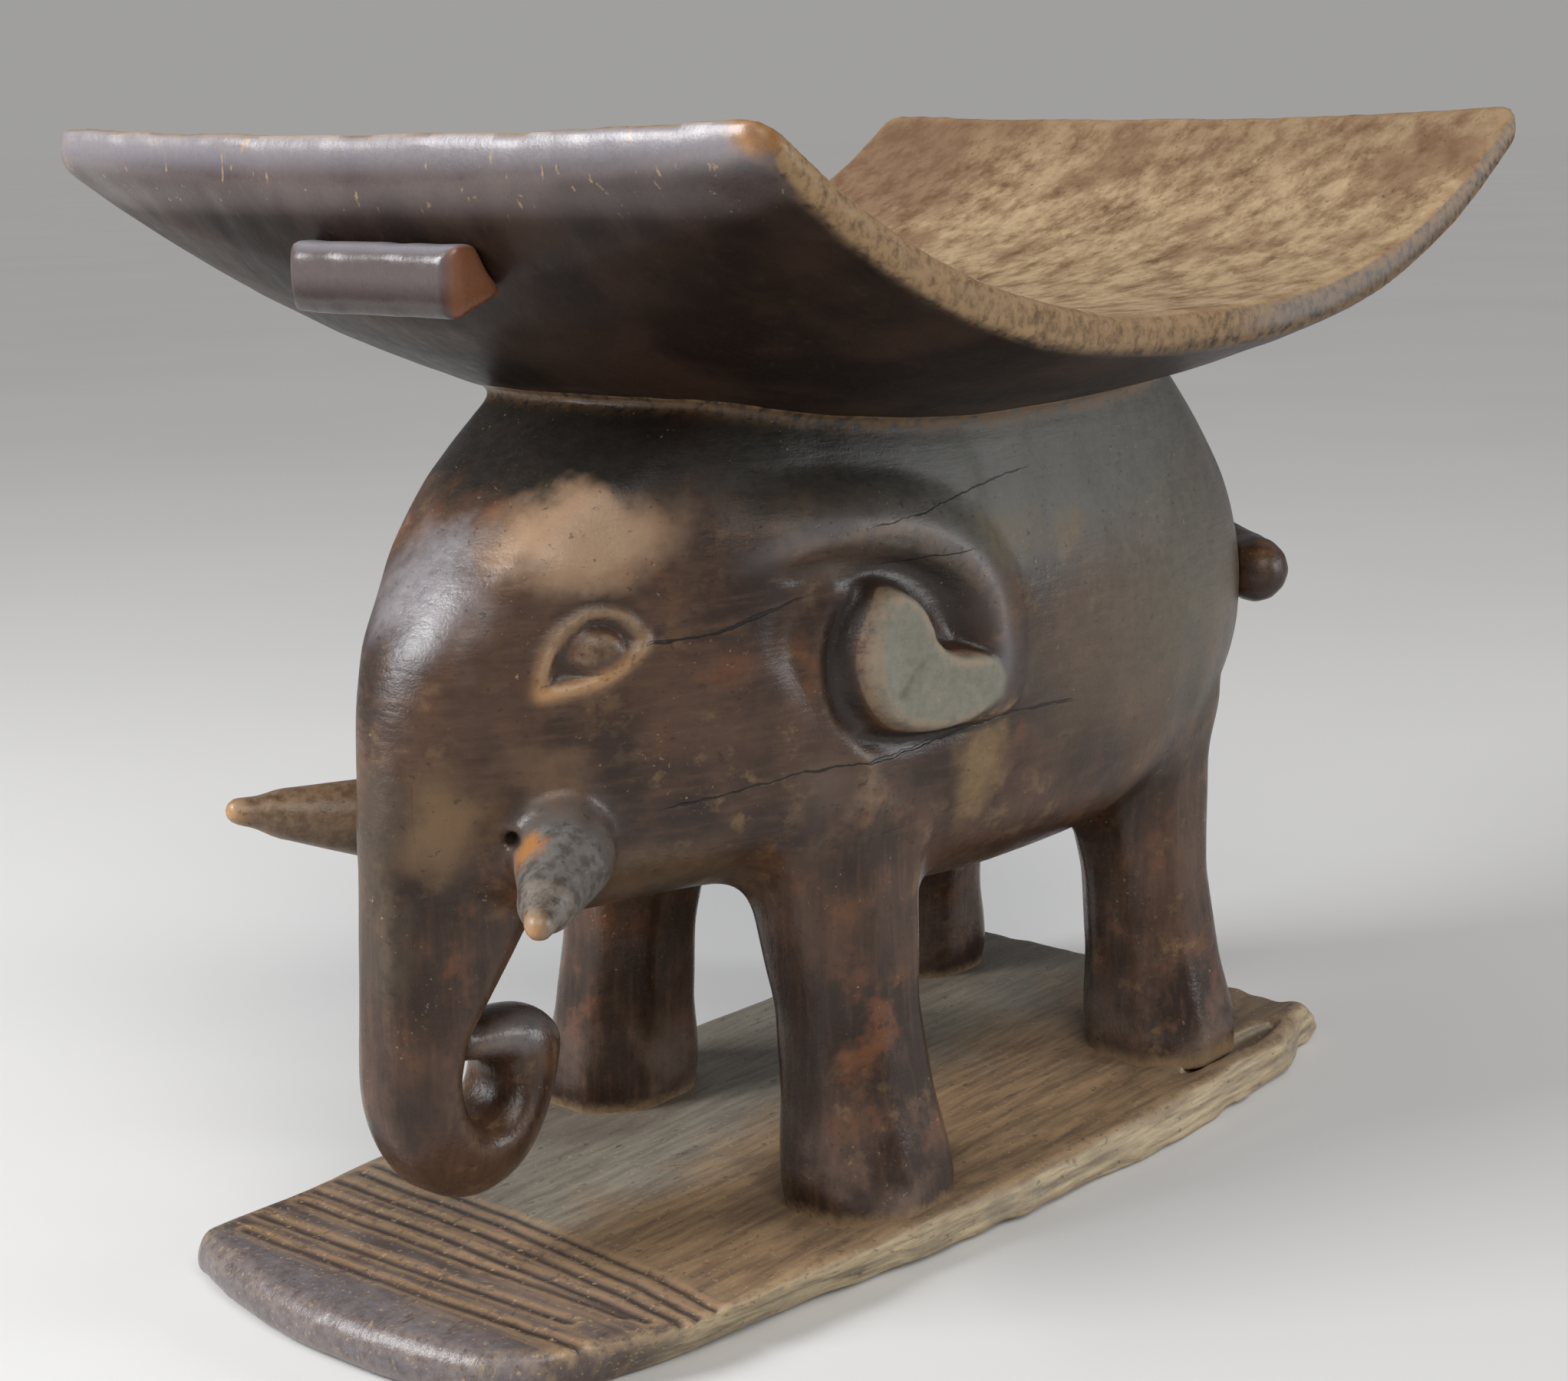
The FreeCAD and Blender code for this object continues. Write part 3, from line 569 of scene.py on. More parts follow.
def make_cutters(field, values):
    def surface(x, z, side):
        column = np.arange(20.0, 125.0, 0.5)
        points = np.stack([np.full_like(column, x), side * column, np.full_like(column, z)], axis=1)
        found = field.sample(values, points) < 0
        return column[found].max() if found.any() else no_surface

    def fitted(loop, side):
        """The plane |y| = a + b x + c z that lies under the surface all round the loop."""
        loop = np.array(loop)
        reach = np.array([surface(x, z, side) for x, z in loop])
        terms = np.stack([np.ones(len(loop)), loop[:, 0], loop[:, 1]], axis=1)
        plane = np.linalg.lstsq(terms, reach, rcond=None)[0]
        plane[0] += (reach - terms @ plane).min() - plug_depth
        return plane

    cutters = []
    for side, name in ((-1, "left"), (1, "right")):
        cutters.append((name + "_ear", side_plug(ear_loop, side, fitted(ear_loop[::4], side))))
        cutters.append((name + "_eye", side_plug(eye_loop, side, fitted(eye_loop[::3], side))))
    (x0, z0), (x1, z1) = trunk_cut
    slope = (z1 - z0) / (x1 - x0)
    slant = [(x, z0 + slope * (x - x0)) for x in (cut_back_x, cut_front_x)]
    floor_line = [(cut_front_x, 0.0), (cut_back_x, 0.0)]
    cutters.append(("trunk", across(floor_line + slant, "y", trunk_cut_half_width, -trunk_cut_half_width)))
    for name, side, low_x, high_x, top in leg_cuts:
        inner, outer = side * leg_inner_y, side * leg_outer_y
        section = [(inner, 0.0), (outer, 0.0), (outer, top), (inner, leg_inner_top)]
        cutters.append((name, across(section, "x", low_x, high_x)))
    for name, side, axis, _, _ in tusks:
        flat = np.array((axis[1], -axis[0], 0.0)) / math.hypot(axis[0], axis[1])
        tall = np.cross(flat, axis)
        start = tusk_origin(side) + tusk_cut_start * np.array(axis)
        ring = [
            start + flat * u * tusk_cut_half_width + tall * v * tusk_cut_half_width
            for u, v in ((-1, -1), (1, -1), (1, 1), (-1, 1))
        ]
        cutters.append((name, block(ring, [p + tusk_cut_length * np.array(axis) for p in ring])))
    head = floor_line + [(cut_back_x, cut_top), (cut_front_x, cut_top)]
    cutters.append(("head", across(head, "y", head_cut_half_width, -head_cut_half_width)))
    return cutters


# Materials, all in object coordinates in mm
wander_size, wander_reach = 17, 26.0      # how the borders of the patches wander


class Paint:
    """A material in the making, with short names for its nodes."""

    def __init__(self, name):
        self.material = bpy.data.materials.new(name)
        self.material.use_nodes = True
        self.tree = self.material.node_tree
        self.shader = self.tree.nodes["Principled BSDF"]
        source = self.node("ShaderNodeTexCoord")
        self.normal = source.outputs["Normal"]
        self.place = self.vector("SCALE", source.outputs["Object"], scale=mm)
        shift = self.node("ShaderNodeTexNoise")
        self.link(shift.inputs["Vector"], self.vector("SCALE", self.place, scale=1 / wander_size))
        shift.inputs["Scale"].default_value = 1
        shift.inputs["Detail"].default_value = 5
        moved = self.vector("SUBTRACT", shift.outputs["Color"], (0.5, 0.5, 0.5))
        moved = self.vector("ADD", self.place, self.vector("SCALE", moved, scale=wander_reach))
        x, y, z = self.parts(moved)
        flip = self.node("ShaderNodeCombineXYZ")
        for socket, value in zip(flip.inputs, (x, self.math("ABSOLUTE", y), z)):
            self.link(socket, value)
        self.moved = flip.outputs[0]

    def node(self, kind, **settings):
        made = self.tree.nodes.new(kind)
        for key, value in settings.items():
            setattr(made, key, value)
        return made

    def link(self, socket, value):
        if isinstance(value, bpy.types.NodeSocket):
            self.tree.links.new(value, socket)
        elif socket.type == "RGBA":
            socket.default_value = (*value, 1)
        else:
            socket.default_value = value

    def math(self, operation, *values, clamp=False):
        made = self.node("ShaderNodeMath", operation=operation, use_clamp=clamp)
        for socket, value in zip(made.inputs, values):
            self.link(socket, value)
        return made.outputs[0]

    def vector(self, operation, *values, scale=None):
        made = self.node("ShaderNodeVectorMath", operation=operation)
        for socket, value in zip(made.inputs, values):
            self.link(socket, value)
        if scale is not None:
            made.inputs["Scale"].default_value = scale
        return made.outputs["Value" if operation == "LENGTH" else "Vector"]

    def parts(self, vector):
        made = self.node("ShaderNodeSeparateXYZ")
        self.link(made.inputs[0], vector)
        return made.outputs[0], made.outputs[1], made.outputs[2]

    def step(self, value, low, high, start=0.0, end=1.0):
        """From start to end as the value goes from low to high; low may be the larger."""
        made = self.node("ShaderNodeMapRange", interpolation_type="SMOOTHSTEP")
        for socket, amount in zip(made.inputs, (value, low, high, start, end)):
            self.link(socket, amount)
        return made.outputs["Result"]

    def mix(self, share, low, high):
        made = self.node("ShaderNodeMix", data_type="RGBA", blend_type="MIX")
        self.link(made.inputs[0], share)
        self.link(made.inputs[6], low)
        self.link(made.inputs[7], high)
        return made.outputs[2]

    def noise(self, size, detail=4.0, rough=0.55, stretch=(1, 1, 1)):
        made = self.node("ShaderNodeTexNoise")
        scaled = self.vector("MULTIPLY", self.place, tuple(1 / (size * s) for s in stretch))
        self.link(made.inputs["Vector"], scaled)
        made.inputs["Scale"].default_value = 1
        made.inputs["Detail"].default_value = detail
        made.inputs["Roughness"].default_value = rough
        return made.outputs["Fac"]

    def mask(self, name):
        made = self.node("ShaderNodeAttribute", attribute_name=name)
        return made.outputs["Fac"]

    def spot(self, centre, reach, soft=0.45):
        """One inside an egg shape, nothing outside it; y counts from the middle on both sides."""
        away = self.vector("SUBTRACT", self.moved, centre)
        away = self.vector("LENGTH", self.vector("MULTIPLY", away, tuple(1 / r for r in reach)))
        return self.step(away, 1 + soft, 1 - soft)

    def joined(self, operation, total, *values):
        for value in values:
            total = self.math(operation, total, value)
        return total

    def times(self, *values):
        return self.joined("MULTIPLY", *values)

    def add(self, *values):
        return self.joined("ADD", *values)

    def most(self, *values):
        return self.joined("MAXIMUM", *values)

    def less(self, value, *shares):
        return self.math("SUBTRACT", value, self.times(*shares))

    def over(self, colour, tone, *shares):
        """The colour with a tone laid over it by the product of the shares."""
        return self.mix(self.times(*shares), colour, tone)

    def lay(self, tone, *shares):
        self.colour = self.over(self.colour, tone, *shares)

    def vary(self, value, low, high, dark, light):
        return self.mix(self.step(value, low, high), dark, light)

    def crack(self, points, width):
        """A dark line over the left flank through points in x and z, in a frame that holds every crack."""
        low, span, base, rise = -200.0, 260.0, 150.0, 150.0
        x, y, z = self.parts(self.place)
        made = self.node("ShaderNodeFloatCurve")
        curve = made.mapping.curves[0]
        places = [((px - low) / span, (pz - base) / rise) for px, pz in points]
        curve.points[0].location = places[0]
        curve.points[1].location = places[-1]
        for place in places[1:-1]:
            curve.points.new(*place)
        made.mapping.update()
        self.link(made.inputs["Value"], self.math("DIVIDE", self.less(x, low), span))
        line = self.add(self.times(made.outputs[0], rise), base)
        wander = self.times(self.less(self.noise(9.0, 3.0), 0.5), 3.4)
        away = self.math("ABSOLUTE", self.less(self.add(z, wander), line))
        slim = self.step(self.noise(14.0, 2.0), 0.35, 0.6, 0.45 * width, width)
        thin = self.math("SUBTRACT", 1.0, self.math("DIVIDE", away, slim), clamp=True)
        start, end = points[0][0], points[-1][0]
        ends = self.times(self.step(x, start, start + 6), self.step(x, end, end - 14))
        return self.times(self.step(thin, 0.0, 0.5), ends, self.step(y, -8.0, -20.0))

    def finish(self, rough, height, depth, gloss=0.5):
        """Link everything to the shader; depth in mm is how deep the height map goes."""
        self.link(self.shader.inputs["Base Color"], self.colour)
        self.link(self.shader.inputs["Roughness"], rough)
        self.link(self.shader.inputs["Specular IOR Level"], gloss)
        bump = self.node("ShaderNodeBump")
        bump.inputs["Strength"].default_value = 0.6
        bump.inputs["Distance"].default_value = depth / mm
        self.link(bump.inputs["Height"], height)
        self.link(self.shader.inputs["Normal"], bump.outputs["Normal"])
        return self.material


# The carved wood's colours, as linear red, green and blue
polish_dark, polish_brown = (0.027, 0.013, 0.008), (0.08, 0.041, 0.024)
grain_light, grain_dark = (0.15, 0.082, 0.048), (0.026, 0.012, 0.008)
rust, ochre = (0.15, 0.056, 0.022), (0.18, 0.11, 0.052)
# foot_grey is partly dust and partly a painted sheen on the feet
foot_dark, foot_grey = (0.08, 0.058, 0.045), (0.17, 0.14, 0.125)
crest_sheen_grey = (0.15, 0.142, 0.148)
lobe_dark, lobe_light = (0.165, 0.16, 0.125), (0.235, 0.23, 0.18)
ear_hollow_shade = (0.022, 0.013, 0.009)
lid_orange, lid_brown = (0.42, 0.23, 0.1), (0.24, 0.15, 0.085)
near_horn_dark, near_horn_light = (0.075, 0.066, 0.058), (0.15, 0.146, 0.14)
far_horn_dark, far_horn_light = (0.09, 0.052, 0.026), (0.16, 0.1, 0.055)
horn_orange, horn_tip = (0.36, 0.155, 0.045), (0.42, 0.22, 0.08)
seam_dark, seam_light = (0.1, 0.05, 0.02), (0.26, 0.14, 0.055)
ankle_tan = (0.3, 0.2, 0.11)
rubbed, dirt_and_shade = (0.3, 0.205, 0.13), (0.02, 0.012, 0.008)
speck, dark_speck, crack_black = (0.36, 0.24, 0.13), (0.018, 0.011, 0.008), (0.008, 0.005, 0.004)

# Worn and dusty patches, with painted shade and painted highlights among them: centre, reach, softness, share, colour.
# Their y counts from the middle on both sides.
carved_patches = (
    # the upper flank's grey: partly dust, partly a painted sheen where the light falls on top
    ((22, 95, 292), (118, 70, 40), 0.55, 0.85, (0.125, 0.124, 0.105)),
    ((120, 90, 275), (70, 60, 60), 0.5, 0.5, (0.115, 0.108, 0.088)),
    # painted shade under the seat, over the neck and the top of the head
    ((-98, 70, 306), (56, 50, 24), 0.5, 0.85, (0.038, 0.036, 0.031)),
    ((-160, 18, 309), (48, 56, 20), 0.4, 0.93, (0.019, 0.017, 0.014)),
    ((118, 100, 218), (62, 50, 46), 0.6, 0.65, (0.115, 0.1, 0.07)),
    ((46, 105, 212), (50, 34, 34), 0.6, 0.5, (0.115, 0.08, 0.048)),
    # a painted bluish highlight on the forehead
    ((-213, 0, 264), (17, 22, 30), 0.6, 0.75, (0.24, 0.225, 0.235)),
    ((-31, 100, 180), (11, 22, 22), 0.6, 0.7, (0.24, 0.155, 0.07)),
    ((-19, 98, 266), (22, 24, 9), 0.6, 0.5, (0.17, 0.125, 0.065)),
    ((23, 101, 262), (10, 24, 8), 0.6, 0.6, (0.18, 0.12, 0.055)),
    ((-199, 42, 203), (16, 18, 10), 0.6, 0.4, (0.2, 0.12, 0.065)),
    ((-246, 0, 170), (8, 30, 46), 0.4, 0.6, (0.058, 0.045, 0.031)),
    ((-160, 55, 160), (30, 26, 12), 0.6, 0.35, (0.16, 0.11, 0.06)),
)
near_patches = (                 # on the left side alone
    ((-228, 22, 187), (13, 16, 17), 0.6, 0.9, (0.175, 0.105, 0.052)),
    # the brow's tan: partly wear, partly a painted highlight on its lit top
    ((-180, 42, 281), (31, 28, 15), 0.5, 0.92, (0.37, 0.24, 0.148)),
    # a painted bluish highlight on the top of the trunk's curl
    ((-190, 0, 104), (20, 30, 9), 0.5, 0.55, (0.17, 0.17, 0.185)),
    ((-100, 60, 185), (16, 40, 14), 0.6, 0.5, (0.14, 0.1, 0.075)),
    ((-203, 52, 181), (19, 17, 18), 0.5, 0.8, (0.1, 0.094, 0.088)),
)
orange_spot = ((-216, 47, 177), (8, 9, 11), 0.5)
dusty_back = ((22, 95, 292), (118, 70, 40))
glossy_brow = ((-213, 0, 264), (20, 24, 34))
cracks = (                       # points in x and z, width
    (((-171, 244.5), (-149, 246), (-128, 251), (-105, 256)), 0.75),
    (((-166, 186), (-140, 189), (-116, 192), (-76, 192.5), (-12, 199), (26, 196)), 0.8),
    (((-96, 278), (-60, 281), (-25, 284.5), (8, 289)), 0.42),
    (((-84, 262), (-64, 264), (-42, 266)), 0.42),
)


def make_carved_wood():
    p = Paint("carved_wood")
    x, y, z = p.parts(p.place)
    broad, fine = p.noise(38.0, 5.0), p.noise(5.0, 6.0, 0.65)
    streak = p.noise(3.2, 5.0, 0.6, (7, 3, 1))
    upright = p.noise(3.6, 5.0, 0.6, (1, 1, 9))
    grain = p.mix(p.step(z, 190.0, 140.0), streak, upright)
    p.colour = p.vary(broad, 0.36, 0.66, polish_dark, polish_brown)
    p.lay(grain_light, p.step(grain, 0.45, 0.75), 0.3)
    p.lay(grain_dark, p.step(grain, 0.48, 0.28), 0.35)
    rusty = p.times(p.step(p.noise(19.0, 5.0, 0.6), 0.5, 0.68), p.step(p.noise(60.0, 3.0), 0.42, 0.6))
    p.lay(rust, rusty, 0.75)
    sandy = p.step(p.noise(11.0, 6.0, 0.66, (1.4, 1, 1)), 0.54, 0.68)
    p.lay(ochre, sandy, p.step(p.noise(75.0, 3.0), 0.46, 0.62), 0.7)
    for centre, reach, soft, share, tone in carved_patches:
        mottled = p.vary(fine, 0.3, 0.7, tuple(0.82 * c for c in tone), tuple(1.14 * c for c in tone))
        p.lay(mottled, p.spot(centre, reach, soft), share)
    near_side = p.step(y, 0.0, -12.0)
    for centre, reach, soft, share, tone in near_patches:
        p.lay(tone, p.spot(centre, reach, soft), near_side, share)

    # feet, ears, eyes, tusks and seams
    behind_trunk = p.step(x, -190.0, -130.0)
    feet = p.times(p.step(z, 66.0, 34.0), behind_trunk, p.step(broad, 0.4, 0.6))
    # the feet get a bluish grey: partly dust, partly a painted sheen
    p.lay(p.mix(fine, foot_dark, foot_grey), feet, 0.5)
    # a painted bluish sheen along the ear's rolled crest
    p.lay(crest_sheen_grey, p.mask("crest"), 0.65)
    p.lay(p.vary(fine, 0.25, 0.75, lobe_dark, lobe_light), p.mask("lobe"), 0.9)
    # painted shade: the lobe's side wall and the hollow between crest and lobe are darkened
    p.lay(ear_hollow_shade, p.mask("deep"), 0.85)
    lids = p.times(p.mask("lids"), p.step(fine, 0.2, 0.45))
    p.lay(p.vary(z, 232.0, 250.0, lid_orange, lid_brown), lids, 0.9)
    tusk = p.mask("tusk")
    near_horn = p.vary(fine, 0.35, 0.65, near_horn_dark, near_horn_light)
    near_horn = p.over(near_horn, horn_orange, p.spot(*orange_spot), 0.95)
    far_horn = p.vary(fine, 0.35, 0.65, far_horn_dark, far_horn_light)
    p.lay(p.mix(p.step(y, 5.0, -5.0), far_horn, near_horn), tusk, 0.9)
    at_tip = p.step(p.add(x, p.times(fine, 8.0)), -234.0, -242.0)
    p.lay(horn_tip, tusk, at_tip)
    near_seat = p.times(p.mask("seam"), p.step(fine, 0.36, 0.56))
    p.lay(p.mix(streak, seam_dark, seam_light), near_seat, 0.75)
    ankle = p.step(p.add(z, p.times(fine, 10.0)), 30.0, 22.0)
    p.lay(ankle_tan, ankle, behind_trunk, 0.75)

    # wear on the high places, dirt and painted shade in the low ones, specks and cracks
    edge = p.mask("edge")
    p.lay(rubbed, p.step(edge, 0.12, 0.75), p.step(fine, 0.3, 0.62), 0.55)
    # the hollows are darkened: partly dirt, partly painted shade
    p.lay(dirt_and_shade, p.step(edge, -0.1, -0.7), 0.6)
    specks = p.times(p.step(p.noise(2.1, 3.0, 0.6), 0.66, 0.72), p.step(p.noise(30.0, 3.0), 0.48, 0.62))
    p.lay(speck, specks, 0.7)
    dark_specks = p.step(p.noise(2.8, 3.0, 0.6, (1.6, 1, 1)), 0.37, 0.3)
    p.lay(dark_speck, dark_specks, p.less(1.0, p.mask("lobe")), 0.5)
    cracked = p.most(*(p.crack(points, width) for points, width in cracks))
    p.lay(crack_black, cracked, 0.92)

    dusty = p.most(p.spot(*dusty_back), p.mask("lobe"))
    rough = p.add(p.step(dusty, 0.0, 1.0, 0.36, 0.52), p.times(p.less(fine, 0.5), 0.3))
    rough = p.less(rough, p.spot(*glossy_brow), 0.08)
    rough = p.less(rough, p.step(z, 165.0, 110.0), 0.1)
    height = p.add(p.times(grain, 0.5), p.times(fine, 0.35), p.times(p.noise(1.3, 5.0, 0.6), 0.18))
    return p.finish(rough, p.less(height, cracked, 1.4), 1.1, 0.42)


# The seat's colours
# the underside's colours are its dark polish, made darker still as painted shade
under_dark, under_brown, under_fleck = (0.012, 0.0068, 0.005), (0.034, 0.0185, 0.012), (0.06, 0.033, 0.02)
top_brown, top_tan, top_straw = (0.21, 0.125, 0.062), (0.45, 0.32, 0.185), (0.54, 0.41, 0.25)
top_grain, top_red, top_stain = (0.15, 0.088, 0.046), (0.17, 0.085, 0.043), (0.085, 0.045, 0.025)
top_speck, top_far, top_tip = (0.05, 0.03, 0.02), (0.13, 0.055, 0.03), (0.16, 0.09, 0.05)
side_brown, side_tan = (0.12, 0.074, 0.04), (0.3, 0.2, 0.11)
rim_sheen_grey, rim_sheen_pale = (0.13, 0.12, 0.115), (0.23, 0.225, 0.23)
end_dark, end_brown = (0.05, 0.031, 0.027), (0.085, 0.06, 0.054)
end_sheen, end_nick = (0.24, 0.23, 0.26), (0.34, 0.22, 0.12)
lug_dark, lug_brown = (0.032, 0.02, 0.017), (0.09, 0.07, 0.068)
lug_sheen, lug_end = (0.27, 0.26, 0.29), (0.3, 0.1, 0.03)
seat_rubbed, chip_dark, chip_light = (0.37, 0.235, 0.12), (0.16, 0.07, 0.025), (0.42, 0.22, 0.085)


def make_seat_wood():
    p = Paint("seat_wood")
    x, y, z = p.parts(p.place)
    _, face_y, face_z = p.parts(p.normal)
    broad, fine = p.noise(52.0, 4.0), p.noise(4.0, 6.0, 0.65)
    grain = p.noise(3.6, 7.0, 0.68, (3.2, 1.4, 2))
    blotch = p.noise(13.0, 7.0, 0.7, (1.8, 1, 1))
    # the underside: its own dark polish, deepened as painted shade
    under = p.vary(broad, 0.38, 0.64, under_dark, under_brown)
    under = p.over(under, under_fleck, p.step(fine, 0.55, 0.75), 0.35)
    top = p.vary(blotch, 0.34, 0.64, top_brown, top_tan)
    top = p.over(top, top_straw, p.step(grain, 0.5, 0.72), 0.6)
    top = p.over(top, top_grain, p.step(grain, 0.46, 0.3), 0.55)
    top = p.over(top, top_red, p.step(broad, 0.5, 0.36), 0.6)
    top = p.over(top, top_stain, p.step(blotch, 0.4, 0.3), 0.6)
    top = p.over(top, top_speck, p.step(p.noise(2.2, 3.0, 0.6, (2, 1, 1)), 0.38, 0.28), 0.6)
    far_side = p.add(y, p.times(p.less(broad, 0.5), 160.0))
    top = p.over(top, top_far, p.step(far_side, 70.0, 125.0), 0.62)
    top = p.over(top, top_tip, p.step(p.math("ABSOLUTE", x), 205.0, 255.0), 0.4)
    on_top = p.mask("top")
    p.colour = p.mix(on_top, under, top)

    # long edges, ends and lugs
    sides = p.times(p.step(p.math("ABSOLUTE", face_y), 0.5, 0.75), p.mask("rim"))
    side_tone = p.vary(fine, 0.25, 0.72, side_brown, side_tan)
    # a painted bluish sheen on the long rims towards the rear end
    side_tone = p.over(side_tone, p.mix(fine, rim_sheen_grey, rim_sheen_pale), p.step(x, 10.0, 80.0), 0.85)
    p.lay(side_tone, sides)
    ends = p.times(p.mask("end"), p.step(z, 384.0, 396.0))
    end_tone = p.vary(broad, 0.36, 0.64, end_dark, end_brown)
    # a painted bluish sheen on the upper band of each end
    end_tone = p.over(end_tone, end_sheen, p.step(z, 398.0, 413.0), 0.8)
    end_tone = p.over(end_tone, end_nick, p.step(p.noise(3.0, 3.0, 0.6, (1, 1.2, 4)), 0.64, 0.7), 0.8)
    p.lay(end_tone, ends)
    lugs = p.mask("lug")
    lug_tone = p.vary(z, 362.0, 370.0, lug_dark, lug_brown)
    # a painted bluish sheen on the lugs' upward faces
    lug_tone = p.over(lug_tone, lug_sheen, p.step(face_z, 0.45, 0.9), 0.7)
    lug_tone = p.over(lug_tone, lug_end, p.step(p.math("ABSOLUTE", y), 36.0, 40.0), 0.6)
    p.lay(lug_tone, lugs)

    # wear and the chipped corner
    bare = p.less(1.0, p.most(lugs, p.times(ends, 0.75)))
    rub = p.times(p.step(p.mask("edge"), 0.2, 0.9), p.step(fine, 0.3, 0.6), bare)
    p.lay(seat_rubbed, rub, 0.6)
    p.lay(p.mix(fine, chip_dark, chip_light), p.mask("chip"), 0.9)
    rough = p.add(p.step(on_top, 0.0, 1.0, 0.4, 0.62), p.times(p.less(fine, 0.5), 0.25))
    rough = p.less(rough, p.most(ends, lugs, sides), 0.12)
    height = p.add(p.times(grain, p.step(on_top, 0.0, 1.0, 0.3, 0.7)), p.times(fine, 0.3))
    gloss = p.most(p.times(p.most(ends, lugs), 0.5), p.step(on_top, 0.0, 1.0, 0.12, 0.3))
    return p.finish(rough, height, 0.8, gloss)


# The plank's colours
plank_dark_grey, plank_grey = (0.15, 0.13, 0.102), (0.265, 0.235, 0.185)
plank_brown, plank_tan = (0.15, 0.095, 0.056), (0.34, 0.22, 0.118)
front_dark, front_grey = (0.062, 0.04, 0.034), (0.135, 0.1, 0.086)
front_streak, front_gap = (0.24, 0.155, 0.09), (0.04, 0.024, 0.018)
line_bank, line_dark = (0.32, 0.2, 0.105), (0.03, 0.016, 0.011)
nose_dark, nose_sheen_grey, nose_nick = (0.105, 0.085, 0.085), (0.175, 0.155, 0.165), (0.3, 0.2, 0.11)
rear_brown, foot_shadow_tone = (0.1, 0.08, 0.06), (0.075, 0.05, 0.035)
straw_dark, straw_light, straw_grey = (0.17, 0.13, 0.085), (0.52, 0.42, 0.265), (0.17, 0.145, 0.115)
knot_tan, plank_rubbed, plank_dirt_and_shade = (0.5, 0.36, 0.2), (0.42, 0.3, 0.17), (0.035, 0.024, 0.018)
plank_speck, plank_pit = (0.4, 0.29, 0.17), (0.05, 0.034, 0.024)
knot = ((-151, 115, 15), (7, 9, 6), 0.3)
# painted shadows on the plank round the feet: centre, reach, softness
foot_shadows = (((-70, 70, 19), (52, 42, 24), 0.3), ((142, 78, 19), (54, 42, 24), 0.3))


def make_plank_wood():
    p = Paint("plank_wood")
    x, y, z = p.parts(p.place)
    broad, fine = p.noise(44.0, 5.0), p.noise(4.2, 6.0, 0.66)
    grain = p.noise(3.2, 6.0, 0.62, (11, 1.3, 2))
    wander = p.times(p.less(broad, 0.5), 90.0)
    along, over = p.add(x, p.times(wander, 0.6)), p.add(y, wander)
    grey = p.vary(grain, 0.26, 0.74, plank_dark_grey, plank_grey)
    tan = p.vary(grain, 0.26, 0.72, plank_brown, plank_tan)
    p.colour = p.mix(p.step(over, 18.0, -34.0), grey, tan)

    # the incised front, the nose and the rear
    cross = p.noise(3.4, 5.0, 0.6, (1.2, 12, 3))
    front = p.vary(broad, 0.36, 0.62, front_dark, front_grey)
    front = p.over(front, front_streak, p.step(cross, 0.46, 0.68), 0.7)
    front = p.over(front, front_gap, p.step(cross, 0.46, 0.3), 0.5)
    p.lay(front, p.step(along, -156.0, -192.0))
    p.lay(line_bank, p.mask("band"), p.step(fine, 0.3, 0.5), 0.75)
    p.lay(line_dark, p.mask("line"), 0.85)
    # the front nose: its own dark brown with a painted bluish sheen
    p.lay(p.vary(fine, 0.3, 0.7, nose_dark, nose_sheen_grey), p.step(x, -238.0, -254.0), 0.8)
    nicks = p.step(p.noise(2.6, 3.0, 0.6, (1, 1, 3)), 0.64, 0.7)
    p.lay(nose_nick, nicks, p.step(x, -225.0, -245.0), 0.6)
    p.lay(rear_brown, p.step(along, 130.0, 200.0), 0.5)

    # the split side and its knot
    split = p.mask("split")
    straw = p.vary(p.noise(3.0, 6.0, 0.65, (14, 2, 1)), 0.3, 0.7, straw_dark, straw_light)
    straw = p.over(straw, straw_grey, p.step(broad, 0.5, 0.36), 0.5)
    p.lay(straw, split)
    p.lay(knot_tan, p.spot(*knot), p.step(y, 0.0, -20.0))

    # wear, dirt with painted shade in the hollows, specks and the painted shadows round the feet
    edge = p.mask("edge")
    p.lay(plank_rubbed, p.step(edge, 0.15, 0.8), p.step(fine, 0.32, 0.6), 0.5)
    # the plank's hollows are darkened: partly dirt, partly painted shade
    p.lay(plank_dirt_and_shade, p.step(edge, -0.15, -0.7), 0.6)
    p.lay(plank_speck, p.step(p.noise(2.4, 3.0, 0.6), 0.6, 0.68), 0.55)
    p.lay(plank_pit, p.step(p.noise(3.0, 4.0, 0.6, (2, 1, 1)), 0.4, 0.3), 0.55)
    # painted shadow that the legs and body cast on the plank round the feet
    feet = p.most(*(p.spot(*shadow_place) for shadow_place in foot_shadows))
    p.lay(foot_shadow_tone, feet, p.less(1.0, split), 0.45)
    rough = p.add(p.step(x, -205.0, -248.0, 0.6, 0.3), p.times(p.less(fine, 0.5), 0.2))
    return p.finish(rough, p.add(grain, p.times(fine, 0.5)), 0.8)


def make_floor():
    p = Paint("floor")
    cloud = p.noise(600.0, 3.0)
    p.colour = p.mix(cloud, (0.66, 0.655, 0.645), (0.72, 0.715, 0.705))
    return p.finish(p.step(cloud, 0.0, 1.0, 0.75, 0.85), p.noise(2.5, 3.0), 0.05, 0.2)


carved_wood = make_carved_wood()
seat_wood = make_seat_wood()
plank_wood = make_plank_wood()

